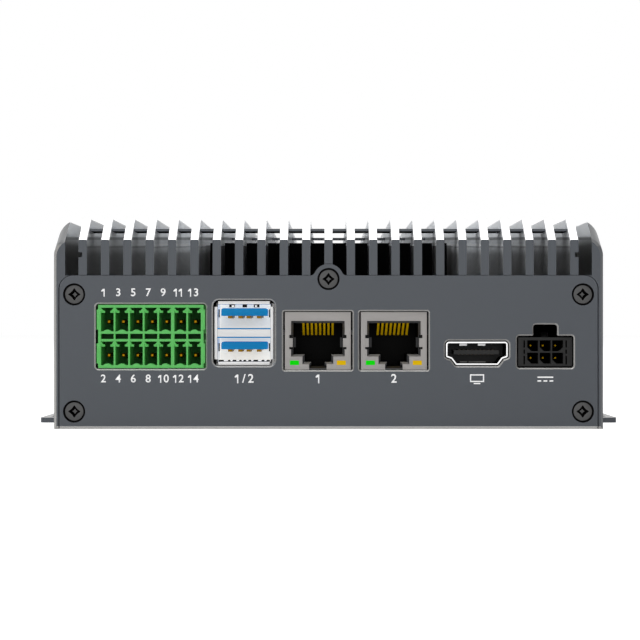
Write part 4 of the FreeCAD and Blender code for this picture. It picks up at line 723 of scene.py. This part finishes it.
def print_text(bm, text, x, z, height):
    """Add flat printed text, centred at a place on the front panel."""
    curve = bpy.data.curves.new("print", "FONT")
    curve.body = text
    curve.align_x = curve.align_y = "CENTER"
    curve.size = height * MM / CAPITAL_SHARE
    curve.offset = STROKE_WEIGHT * height * MM
    holder = add_object("print", curve)
    bpy.context.view_layer.update()
    mesh = bpy.data.meshes.new_from_object(holder.evaluated_get(bpy.context.evaluated_depsgraph_get()))
    bpy.data.objects.remove(holder)
    turn = Matrix.Rotation(math.pi / 2, 4, "X")
    mesh.transform(Matrix.Translation(Vector((x, FACE - PRINT_PROUD, z)) * MM) @ turn)
    bm.from_mesh(mesh)
    bpy.data.meshes.remove(mesh)


def flat_shape(bm, corners, y=FACE - PRINT_PROUD):
    """Add a flat shape that faces the front, from its corners in X and Z."""
    bm.faces.new([bm.verts.new((x * MM, y * MM, z * MM)) for x, z in corners])


def flat_bar(bm, x0, x1, z0, z1, y=FACE - PRINT_PROUD):
    flat_shape(bm, [(x0, z0), (x1, z0), (x1, z1), (x0, z1)], y)


def centred_bar(bm, x, half, z0, z1, y=FACE - PRINT_PROUD):
    flat_bar(bm, x - half, x + half, z0, z1, y)


def flat_bars(bm, middle, spans, z0, z1, y):
    """Add a row of flat bars, from where each starts and ends beside a middle."""
    for x0, x1 in spans:
        flat_bar(bm, middle + x0, middle + x1, z0, z1, y)


def plate_piece(name, bm, material):
    """Give flat shapes a small thickness, backwards, and make one piece of them."""
    made = bmesh.ops.extrude_face_region(bm, geom=list(bm.faces), use_keep_orig=True)["geom"]
    verts = [item for item in made if isinstance(item, bmesh.types.BMVert)]
    bmesh.ops.translate(bm, vec=(0, PLATE_THICKNESS * MM, 0), verts=verts)
    bmesh.ops.recalc_face_normals(bm, faces=bm.faces)
    return new_piece(name, mesh_from(bm, name), material)


def print_one(bm, x, z, height):
    """A figure one: a stem with a flag, whose corners are given in stems across and heights down."""
    stem = height * ONE_STEM
    right, top = x + height * ONE_SIDE, z + height / 2
    flat_bar(bm, right - stem, right, z - height / 2, top)
    flat_shape(bm, [(right - stem * across, top - height * down) for across, down in ONE_FLAG])


def print_number(bm, text, x, z, height):
    """Add figures in a row, centred at a place on the front panel."""
    advance = height * (ONES_ADVANCE if text == "11" else FIGURE_ADVANCE)
    for index, figure in enumerate(text):
        place = x + (index - (len(text) - 1) / 2) * advance
        if figure == "1":
            print_one(bm, place, z, height)
        else:
            print_text(bm, figure, place, z, height)


class COMPUTER_OT_printing(bpy.types.Operator):
    """Print plain numbers and simple marks beside the connectors"""

    bl_idname = "computer.printing"
    bl_label = "Printing"

    def execute(self, context):
        # The printing glows a little: painted light.
        ink = lit_surface("white_ink", tuple(context.scene.finish_colours.print), 0.55)
        low, high = in_millimetres(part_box("terminal_block"))
        pitch = (high.x - low.x) / (TERMINAL_COLUMNS + TERMINAL_END_WALLS)
        middle = (low.x + high.x) / 2
        bm = bmesh.new()
        for column in range(TERMINAL_COLUMNS):
            x = middle + (column - (TERMINAL_COLUMNS - 1) / 2) * pitch + PRINT_SHIFT
            print_number(bm, str(2 * column + 1), x, high.z + PRINT_ABOVE, PRINT_HEIGHT)
            print_number(bm, str(2 * column + 2), x, low.z - PRINT_BELOW, PRINT_HEIGHT)
        level = low.z - PRINT_BELOW
        for node, text in (("double_port_shell", "1/2"), ("left_jack_shell", "1"), ("right_jack_shell", "2")):
            first, last = in_millimetres(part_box(node))
            print_number(bm, text, (first.x + last.x) / 2, level, MARK_HEIGHT)
        print_screen_mark(bm, "video_socket_shell", level)
        print_current_mark(bm, "power_inlet_housing", level)
        plate_piece("panel_printing", bm, ink)
        return {"FINISHED"}


SCREEN_HALF, SCREEN_LINE = 1.7, 0.28
SCREEN_TOP, SCREEN_BOTTOM = 1.1, 0.75
SCREEN_FOOT_HALF, SCREEN_FOOT_DROP = 0.8, (0.5, 0.22)
CURRENT_HALF, CURRENT_LINE = 1.9, 0.32
CURRENT_BAR, CURRENT_DASHES = 0.25, 0.65
DASHES_IN_BAR = 4.2


def print_screen_mark(bm, node, level):
    """A screen on a foot."""
    low, high = in_millimetres(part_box(node))
    x, half, line = (low.x + high.x) / 2, SCREEN_HALF, SCREEN_LINE
    top, bottom = level + SCREEN_TOP, level - SCREEN_BOTTOM
    centred_bar(bm, x, half, top - line, top)
    centred_bar(bm, x, half, bottom, bottom + line)
    flat_bar(bm, x - half, x - half + line, bottom + line, top - line)
    flat_bar(bm, x + half - line, x + half, bottom + line, top - line)
    deep, shallow = SCREEN_FOOT_DROP
    centred_bar(bm, x, SCREEN_FOOT_HALF, bottom - deep, bottom - shallow)


def print_current_mark(bm, node, level):
    """A bar over three dashes, for direct current."""
    low, high = in_millimetres(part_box(node))
    x, half, line = (low.x + high.x) / 2, CURRENT_HALF, CURRENT_LINE
    centred_bar(bm, x, half, level + CURRENT_BAR, level + CURRENT_BAR + line)
    dash = 2 * half / DASHES_IN_BAR
    for index in (-1, 0, 1):
        centred_bar(bm, x + index * (half - dash / 2), dash / 2, level - CURRENT_DASHES,
                    level - CURRENT_DASHES + line)


# Painted shade deep in the terminal's cells: start and end depth and the darkest level.
CELL_SHADE = (0.6, 3.0, 0.05)


class COMPUTER_OT_terminal(bpy.types.Operator):
    """Finish the terminal block and its pins"""

    bl_idname = "computer.terminal"
    bl_label = "Terminal block"

    def execute(self, context):
        green = moulded("terminal_green", tuple(context.scene.finish_colours.terminal), 0.38, CELL_SHADE,
                        deep=screen(70, 138, 72), deep_level=terminal_deep_level)
        gold = plated("gold_pins", screen(150, 108, 12), 0.45, 1.0, LENGTHWISE_LINES)
        softened_piece("terminal_block", "terminal_body", green, width=0.05)
        paint("terminal_pins", gold)
        return {"FINISHED"}


# Places on the double port are in millimetres from the middle of its can, or down from its top.
PORT_MIDDLE = 7.75
PORT_BACK = 9.0
SHELL_LIP = 0.36
BAR_SIDE, BAR_HALF = 6.4, 2.0
FOLD_SIDES, FOLD_HEIGHTS = (6.72, 6.86), (7.22, 7.36)
RIM_SIDES, RIM_HEIGHTS = (6.3, 6.48), (6.8, 6.98)
RIM_END = 6.95
OUTER_SHADE_SIDE, OUTER_SHADE_HEIGHT = 7.03, 7.62
CORNER_SIDE, CORNER_HEIGHT, CORNER_DEPTH = 6.2, 6.35, 2.2


def port_insulator(colour):
    """Blue tongues and strips before a pale back wall; all glow as painted light, the wall most."""
    surface = Surface("port_blue", roughness=0.35, specular_ior_level=0.15, emission_strength=0.45)
    y = surface.place()[1]
    grain = surface.noise(0.25, 2.0)
    wall = y.above(FACE + PORT_BACK, 0.1)
    blue = surface.shade(colour, spread(1.0, grain, 0.06))
    tint = surface.mix(wall, blue, screen(232, 228, 220))
    surface.feed("Base Color", tint)
    # Painted light: the tongues glow a little and the back wall more.
    surface.feed("Emission Color", surface.shade(tint, 0.25 + wall * 0.9))
    surface.bump(grain, 0.005)
    return surface.material


def folded_shell():
    """Bright folded sheet that glows a little as painted light: pale lips with fold lines, a greyer bar and a
    dark outer line of painted shade.
    """
    surface = Surface("port_shell_metal", metallic=0.1, emission_strength=0.22)
    low, high = in_millimetres(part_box("double_port_shell"))
    x, y, z = surface.place()
    cloud = surface.noise(3.0, 2.0)
    lines = surface.noise(1.0, 3.0, 0.6, SHELL_LINES)
    side = abs(x - (low.x + high.x) / 2)
    upright = abs(z - (high.z - PORT_MIDDLE))
    face = y.below(FACE + SHELL_LIP, 0.02)
    bar = upright.below(BAR_HALF, 0.05) * side.below(BAR_SIDE, 0.05)
    fold = side.between(*FOLD_SIDES, 0.06).maximum(upright.between(*FOLD_HEIGHTS, 0.06))
    rim = side.between(*RIM_SIDES, 0.06) * upright.below(RIM_END, 0.05)
    rim = rim.maximum(upright.between(*RIM_HEIGHTS, 0.06) * side.below(BAR_SIDE, 0.05))
    tint = surface.mix(bar, screen(252, 252, 252), screen(232, 232, 232))
    tint = surface.mix(face * (1 - bar) * (fold * 0.5).maximum(rim), tint, screen(120, 120, 122))
    # Painted shade: a dark line round the outside of the can, back to the corner depth.
    outer_shade = side.above(OUTER_SHADE_SIDE, 0.04).maximum(upright.above(OUTER_SHADE_HEIGHT, 0.04))
    corners = side.above(CORNER_SIDE, 0.04) * upright.above(CORNER_HEIGHT, 0.04)
    outer_shade = outer_shade.maximum(corners) * y.below(FACE + CORNER_DEPTH, 0.1)
    tint = surface.mix(outer_shade, tint, screen(12, 12, 12))
    tint = surface.shade(tint, spread(1.0, cloud, 0.04))
    surface.feed("Base Color", tint)
    # The emission is painted light.
    surface.feed("Emission Color", tint)
    surface.feed("Roughness", spread(0.35, lines, 0.12))
    surface.bump(lines, 0.002)
    return surface.material


PORT_HEIGHT = 15.5
OPENING_EDGE = 0.86
GAP_DEPTH, SPRING_DEPTH, SIDE_DEPTH, CONTACT_DEPTH = 1.0, 0.98, 1.6, 2.4
ROOF_GAPS, ROOF_GAP_HEIGHT = ((-3.6, -2.2), (-0.4, 0.7), (2.3, 3.7)), 0.72
ROOF_SPRINGS, ROOF_SPRING_DROPS = ((-3.0, -2.4), (2.6, 3.1)), (0.6, 0.2)
FLOOR_GAP_HALF, FLOOR_GAP_HEIGHT, FLOOR_SPRING_RISE = 6.2, 0.42, 0.08
FLOOR_SPRINGS = ((-4.9, -3.9), (-3.3, -2.8), (-1.9, -1.2), (-0.6, -0.2), (0.5, 1.0), (1.7, 2.2), (3.4, 4.2),
                 (4.9, 5.4))
SIDE_GAP_LEVELS, SIDE_GAP_PLACE, SIDE_GAP_HALF = (2.9, 11.1), 6.1, 0.16
SIDE_GAP_DOWN, SIDE_GAP_UP = 1.1, 0.9
CONTACT_LEVELS, CONTACT_PLACES = (3.61, 11.3), (-2.65, -0.15, 1.85, 4.35)
CONTACT_HALF, CONTACT_HEIGHT = 0.28, 0.5


class COMPUTER_OT_double_port(bpy.types.Operator):
    """Finish the stacked double port"""

    bl_idname = "computer.double_port"
    bl_label = "Double port"

    def execute(self, context):
        metal = folded_shell()
        blue = port_insulator(tuple(context.scene.finish_colours.port))
        gold = plated("port_contact_gold", screen(126, 90, 16), 0.45, 0.9, LENGTHWISE_LINES)
        softened_piece("double_port_shell", "double_port_can", metal)
        softened_piece("double_port_tongues", "double_port_insulator", blue, width=0.08)
        paint("double_port_contacts", gold)
        low, high = in_millimetres(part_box("double_port_shell"))
        middle = (low.x + high.x) / 2
        dark, bright, grey = bmesh.new(), bmesh.new(), bmesh.new()
        roof, floor = high.z - OPENING_EDGE, high.z - PORT_HEIGHT + OPENING_EDGE
        far, near = ROOF_SPRING_DROPS
        # Dark plates in the gaps of the openings are painted shade.
        flat_bars(dark, middle, ROOF_GAPS, roof - ROOF_GAP_HEIGHT, roof, low.y + GAP_DEPTH)
        flat_bars(bright, middle, ROOF_SPRINGS, roof - far, roof - near, low.y + SPRING_DEPTH)
        centred_bar(dark, middle, FLOOR_GAP_HALF, floor, floor + FLOOR_GAP_HEIGHT, low.y + GAP_DEPTH)
        flat_bars(bright, middle, FLOOR_SPRINGS, floor + FLOOR_SPRING_RISE, floor + FLOOR_GAP_HEIGHT,
                  low.y + SPRING_DEPTH)
        for drop in SIDE_GAP_LEVELS:
            level = high.z - drop
            for side in (-1, 1):
                centred_bar(dark, middle + side * SIDE_GAP_PLACE, SIDE_GAP_HALF, level - SIDE_GAP_DOWN,
                            level + SIDE_GAP_UP, low.y + SIDE_DEPTH)
        for drop in CONTACT_LEVELS:
            level = high.z - drop
            for offset in CONTACT_PLACES:
                centred_bar(grey, middle + offset, CONTACT_HALF, level - CONTACT_HEIGHT, level,
                            low.y + CONTACT_DEPTH)
        ends = plated("port_rear_contacts", screen(118, 118, 116), 0.4, 0.2)
        plate_piece("double_port_rear_contacts", grey, ends)
        # The gap plates are black as painted shade.
        black = moulded("port_black", screen(24, 24, 26), 0.5, shine=0.1)
        plate_piece("double_port_gaps", dark, black)
        plate_piece("double_port_springs", bright, metal)
        return {"FINISHED"}


JACK_BEVEL_DEPTH, JACK_BEVEL_FOOT = 1.72, 15.4
JACK_DARK_DEPTH, JACK_DARK_BLEND = 2.2, 1.6


def jack_plastic():
    """Black plastic with painted shade deeper inside, and painted light on the bevels round the opening, most
    on the ledges that face up.
    """
    surface = Surface("jack_black", roughness=0.4)
    _, y, z = surface.place()
    along, up = surface.facing()[1:]
    grain = surface.noise(0.25, 2.0)
    bevel = abs(along).between(0.3, 0.62, 0.05) * y.below(FACE + JACK_BEVEL_DEPTH, 0.05)
    bevel = bevel * z.above(JACK_BEVEL_FOOT, 0.1)
    # Painted light: the bevels are lighter, most where they face up.
    lit = surface.mix(up.above(0.4, 0.1), screen(88, 88, 90), screen(165, 163, 160))
    tint = surface.mix(bevel, screen(28, 28, 29), lit)
    surface.feed("Base Color", surface.shade(tint, spread(1.0, grain, 0.08)))
    # Painted shade: deeper in, the plastic goes black.
    surface.matt_where(y.above(FACE + JACK_DARK_DEPTH, JACK_DARK_BLEND) * 0.94, DEEP_BLACK)
    surface.bump(grain, 0.006)
    return surface.material


# The gaps and springs on both sides of a jack, from its middle, its underside and its front. The gaps are
# black plates of painted shade.
JACK_GAP_PLACE, JACK_GAP_HALF, JACK_GAP_PROUD = 6.45, 0.42, 0.01
JACK_GAPS = ((5.2, 0.26), (8.0, 0.4))
JACK_SPRING_INSET, JACK_SPRING_HALF, JACK_SPRING_DEPTH = 0.75, 0.35, 0.9
JACK_SPRING_FOOT, JACK_SPRING_TOP = 5.4, 7.8


class COMPUTER_OT_jacks(bpy.types.Operator):
    """Finish the two network jacks and their light windows"""

    bl_idname = "computer.jacks"
    bl_label = "Network jacks"

    def execute(self, context):
        metal = plated("jack_can_metal", screen(186, 182, 179), 0.45, 0.1)
        black = jack_plastic()
        # The contacts glow a little: painted light.
        gold = plated("jack_contact_gold", screen(235, 190, 0), 0.35, 0.1, UPRIGHT_LINES, glow=0.16)
        # Black plates in the gaps beside the jacks are painted shade.
        dark = moulded("jack_gap_black", screen(14, 14, 14), 0.6, shine=0.1)
        gaps, backs = bmesh.new(), bmesh.new()
        for side in ("left", "right"):
            softened_piece(side + "_jack_shell", side + "_jack_can", metal, width=0.05)
            paint(side + "_jack_insert", black)
            paint(side + "_jack_contacts", gold)
            low, high = in_millimetres(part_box(side + "_jack_shell"))
            middle = (low.x + high.x) / 2
            for edge in (-1, 1):
                x = middle + edge * JACK_GAP_PLACE
                for height, half in JACK_GAPS:
                    centred_bar(gaps, x, JACK_GAP_HALF, low.z + height - half, low.z + height + half,
                                low.y - JACK_GAP_PROUD)
                centred_bar(backs, x - edge * JACK_SPRING_INSET, JACK_SPRING_HALF, low.z + JACK_SPRING_FOOT,
                            low.z + JACK_SPRING_TOP, low.y + JACK_SPRING_DEPTH)
        plate_piece("jack_spring_gaps", gaps, dark)
        grey = moulded("jack_spring_grey", screen(50, 50, 51), 0.5, shine=0.2)
        plate_piece("jack_spring_backs", backs, grey)
        paint("green_light_windows", lit_surface("green_light", screen(0, 222, 0), 0.4))
        paint("amber_light_windows", lit_surface("amber_light", screen(222, 180, 0), 0.42))
        return {"FINISHED"}


# Painted shade: the can goes black behind its front rim and on its rounded edges.
VIDEO_RIM_SHADE = (0.28, 0.34, 0.02)
VIDEO_SPRING_PLACES, VIDEO_SPRING_HALF = (-3.25, 1.2), 0.9
VIDEO_SPRING_DROPS, VIDEO_SPRING_DEPTH = (0.98, 0.4), 0.97
VIDEO_FOOT_SPANS, VIDEO_FOOT_HEIGHTS, VIDEO_FOOT_DEPTH = ((-4.0, -2.3), (-1.9, 2.2)), (0.62, 0.82), 1.2


class COMPUTER_OT_video_socket(bpy.types.Operator):
    """Finish the video socket"""

    bl_idname = "computer.video_socket"
    bl_label = "Video socket"

    def execute(self, context):
        metal = plated("video_shell_metal", screen(240, 240, 240), 0.3, depth_shade=VIDEO_RIM_SHADE)
        bright = plated("video_spring_metal", screen(225, 225, 225), 0.35, 0.2)
        black = moulded("video_black", screen(42, 42, 42), 0.42, shine=0.2)
        gold = plated("video_contact_gold", screen(60, 50, 35), 0.4, 0.5, LENGTHWISE_LINES)
        softened_piece("video_socket_shell", "video_socket_can", metal, width=0.03)
        paint("video_socket_insert", black)
        paint("video_socket_foot", black)
        paint("video_socket_contacts", gold)
        low, high = in_millimetres(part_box("video_socket_shell"))
        middle = (low.x + high.x) / 2
        springs, feet = bmesh.new(), bmesh.new()
        far, near = VIDEO_SPRING_DROPS
        for offset in VIDEO_SPRING_PLACES:
            centred_bar(springs, middle + offset, VIDEO_SPRING_HALF, high.z - far, high.z - near,
                        FACE + VIDEO_SPRING_DEPTH)
        plate_piece("video_socket_springs", springs, bright)
        dull = plated("video_foot_metal", screen(104, 104, 102), 0.4, 0.2)
        foot, top = VIDEO_FOOT_HEIGHTS
        flat_bars(feet, middle, VIDEO_FOOT_SPANS, low.z + foot, low.z + top, FACE + VIDEO_FOOT_DEPTH)
        plate_piece("video_socket_lower_springs", feet, dull)
        return {"FINISHED"}


# Painted shade deep in the power inlet: start and end depth and the darkest level.
INLET_SHADE = (0.7, 3.5, 0.05)


class COMPUTER_OT_power_inlet(bpy.types.Operator):
    """Finish the power inlet"""

    bl_idname = "computer.power_inlet"
    bl_label = "Power inlet"

    def execute(self, context):
        black = moulded("inlet_black", screen(32, 32, 32), 0.42, INLET_SHADE, shine=0.2, sunk=inlet_grooves)
        gold = plated("inlet_pin_gold", screen(165, 125, 0), 0.45, 1.0, LENGTHWISE_LINES)
        softened_piece("power_inlet_housing", "power_inlet_body", black, width=0.05)
        paint("power_inlet_pins", gold)
        return {"FINISHED"}


class COMPUTER_OT_board(bpy.types.Operator):
    """Finish the boards and everything that they carry inside the housing"""

    bl_idname = "computer.board"
    bl_label = "Boards"

    def execute(self, context):
        laminate = circuit_board("solder_mask")
        black = moulded("socket_black", screen(38, 38, 40), 0.45)
        epoxy = moulded("chip_epoxy", screen(28, 28, 30), 0.5, None, 0.1)
        steel = plated("bright_steel", screen(200, 200, 196), 0.25)
        brass = plated("turned_brass", screen(205, 175, 105), 0.3, 1.0, (0.3, 0.3, 4.0))
        aluminium = plated("can_aluminium", screen(215, 215, 217), 0.25)
        pad = moulded("silicone_pad", screen(140, 150, 165), 0.7)
        lid = plated("processor_lid", screen(175, 177, 180), 0.35)
        finishes = {
            laminate: ("main_board", "compute_module_board", "storage_card"),
            black: ("module_socket", "storage_socket", "battery_holder"),
            epoxy: ("memory_chips", "storage_chips", "power_inductors"),
            steel: ("board_screws", "module_screws", "storage_screw", "clock_battery"),
            brass: ("board_standoffs", "module_posts", "storage_post"),
            aluminium: ("capacitors",),
            pad: ("thermal_pad",),
            lid: ("processor_package",),
        }
        for material, nodes in finishes.items():
            for node in nodes:
                paint(node, material)
        return {"FINISHED"}


# The studio is in metres, and its lamps point at AIM.
FLOOR_HALF = 4.0
FLOOR_GREY = (0.82, 0.82, 0.82, 1)
FLOOR_GLOW = 0.92
AIM = (0, 0, 0.03)
KEY_PLACE, KEY_SIZE = (-0.2, 0.1, 1.1), (1.2, 1.2)
FILL_PLACE, FILL_SIZE = (-0.25, -1.2, 0.15), (1.4, 0.9)


def area_lamp(name, place, size, power):
    lamp = bpy.data.lights.new(name, "AREA")
    lamp.shape = "RECTANGLE"
    lamp.size, lamp.size_y = size
    lamp.energy = power
    holder = add_object(name, lamp)
    holder.location = place
    holder.rotation_euler = (Vector(AIM) - Vector(place)).to_track_quat("-Z", "Y").to_euler()


def empty_tree(owner):
    """The node tree of a world or a material, with nothing in it."""
    owner.use_nodes = True
    owner.node_tree.nodes.clear()
    return owner.node_tree


def split_by_ray(tree, output, plain, seen):
    """Send one shader to camera and glossy rays, which see the background, and a plain one to the rest."""
    path = tree.nodes.new("ShaderNodeLightPath")
    join = tree.nodes.new("ShaderNodeMath")
    join.operation = "MAXIMUM"
    mix = tree.nodes.new("ShaderNodeMixShader")
    tree.links.new(path.outputs["Is Camera Ray"], join.inputs[0])
    tree.links.new(path.outputs["Is Glossy Ray"], join.inputs[1])
    for index, source in enumerate((join, plain, seen)):
        tree.links.new(source.outputs[0], mix.inputs[index])
    tree.links.new(mix.outputs[0], tree.nodes.new(output).inputs["Surface"])


def white_world(level):
    """White where it is seen, and an even soft light on the object."""
    world = bpy.data.worlds.new("studio")
    bpy.context.scene.world = world
    tree = empty_tree(world)
    light = tree.nodes.new("ShaderNodeBackground")
    light.inputs["Strength"].default_value = level
    seen = tree.nodes.new("ShaderNodeBackground")
    for background in (light, seen):
        background.inputs["Color"].default_value = (1, 1, 1, 1)
    split_by_ray(tree, "ShaderNodeOutputWorld", light, seen)


def floor_material():
    """Pale matt floor that shows white and keeps the object's shadow."""
    material = bpy.data.materials.new("pale_floor")
    tree = empty_tree(material)
    matt = tree.nodes.new("ShaderNodeBsdfDiffuse")
    matt.inputs["Color"].default_value = FLOOR_GREY
    glow = tree.nodes.new("ShaderNodeEmission")
    glow.inputs["Strength"].default_value = FLOOR_GLOW
    both = tree.nodes.new("ShaderNodeAddShader")
    tree.links.new(matt.outputs[0], both.inputs[0])
    tree.links.new(glow.outputs[0], both.inputs[1])
    split_by_ray(tree, "ShaderNodeOutputMaterial", matt, both)
    return material


class COMPUTER_OT_stage(bpy.types.Operator):
    """Lay the floor and set the lamps and the camera"""

    bl_idname = "computer.stage"
    bl_label = "Stage"

    def execute(self, context):
        sizes = context.scene.stage_sizes
        bm = bmesh.new()
        bmesh.ops.create_grid(bm, x_segments=1, y_segments=1, size=FLOOR_HALF)
        floor = add_object("floor", mesh_from(bm, "floor"))
        floor.data.materials.append(floor_material())
        white_world(sizes.world_level)
        area_lamp("overhead", KEY_PLACE, KEY_SIZE, sizes.key_power)
        area_lamp("front_fill", FILL_PLACE, FILL_SIZE, sizes.fill_power)
        camera = bpy.data.cameras.new("camera")
        camera.lens = sizes.lens
        camera.sensor_width = 36.0
        camera.shift_x = sizes.shift_x
        camera.shift_y = sizes.shift_y
        camera.clip_start = 0.01
        camera.clip_end = 20.0
        holder = add_object("camera", camera)
        holder.location = (0, FACE * MM - sizes.camera_distance, sizes.camera_height)
        holder.rotation_euler = (math.pi / 2, 0, 0)
        context.scene.camera = holder
        context.scene.view_settings.view_transform = "Standard"
        return {"FINISHED"}


class COMPUTER_PT_finish(bpy.types.Panel):
    """Sidebar panel that lists the steps"""

    bl_label = "Computer"
    bl_space_type = "VIEW_3D"
    bl_region_type = "UI"
    bl_category = "Computer"

    def draw(self, context):
        for step in STEPS:
            self.layout.operator(step.bl_idname)
        scene = context.scene
        for group, owner in ((scene.finish_colours, FinishColours), (scene.stage_sizes, StageSizes)):
            for name in owner.__annotations__:
                self.layout.prop(group, name)


STEPS = (
    COMPUTER_OT_stage,
    COMPUTER_OT_housing,
    COMPUTER_OT_screws,
    COMPUTER_OT_printing,
    COMPUTER_OT_terminal,
    COMPUTER_OT_double_port,
    COMPUTER_OT_jacks,
    COMPUTER_OT_video_socket,
    COMPUTER_OT_power_inlet,
    COMPUTER_OT_board,
)
CLASSES = (FinishColours, StageSizes) + STEPS + (COMPUTER_PT_finish,)


def register():
    for cls in CLASSES:
        bpy.utils.register_class(cls)
    bpy.types.Scene.finish_colours = bpy.props.PointerProperty(type=FinishColours)
    bpy.types.Scene.stage_sizes = bpy.props.PointerProperty(type=StageSizes)


def unregister():
    del bpy.types.Scene.stage_sizes
    del bpy.types.Scene.finish_colours
    for cls in reversed(CLASSES):
        bpy.utils.unregister_class(cls)


def main():
    register()
    for step in STEPS:
        category, name = step.bl_idname.split(".")
        getattr(getattr(bpy.ops, category), name)()


if __name__ == "__main__":
    main()
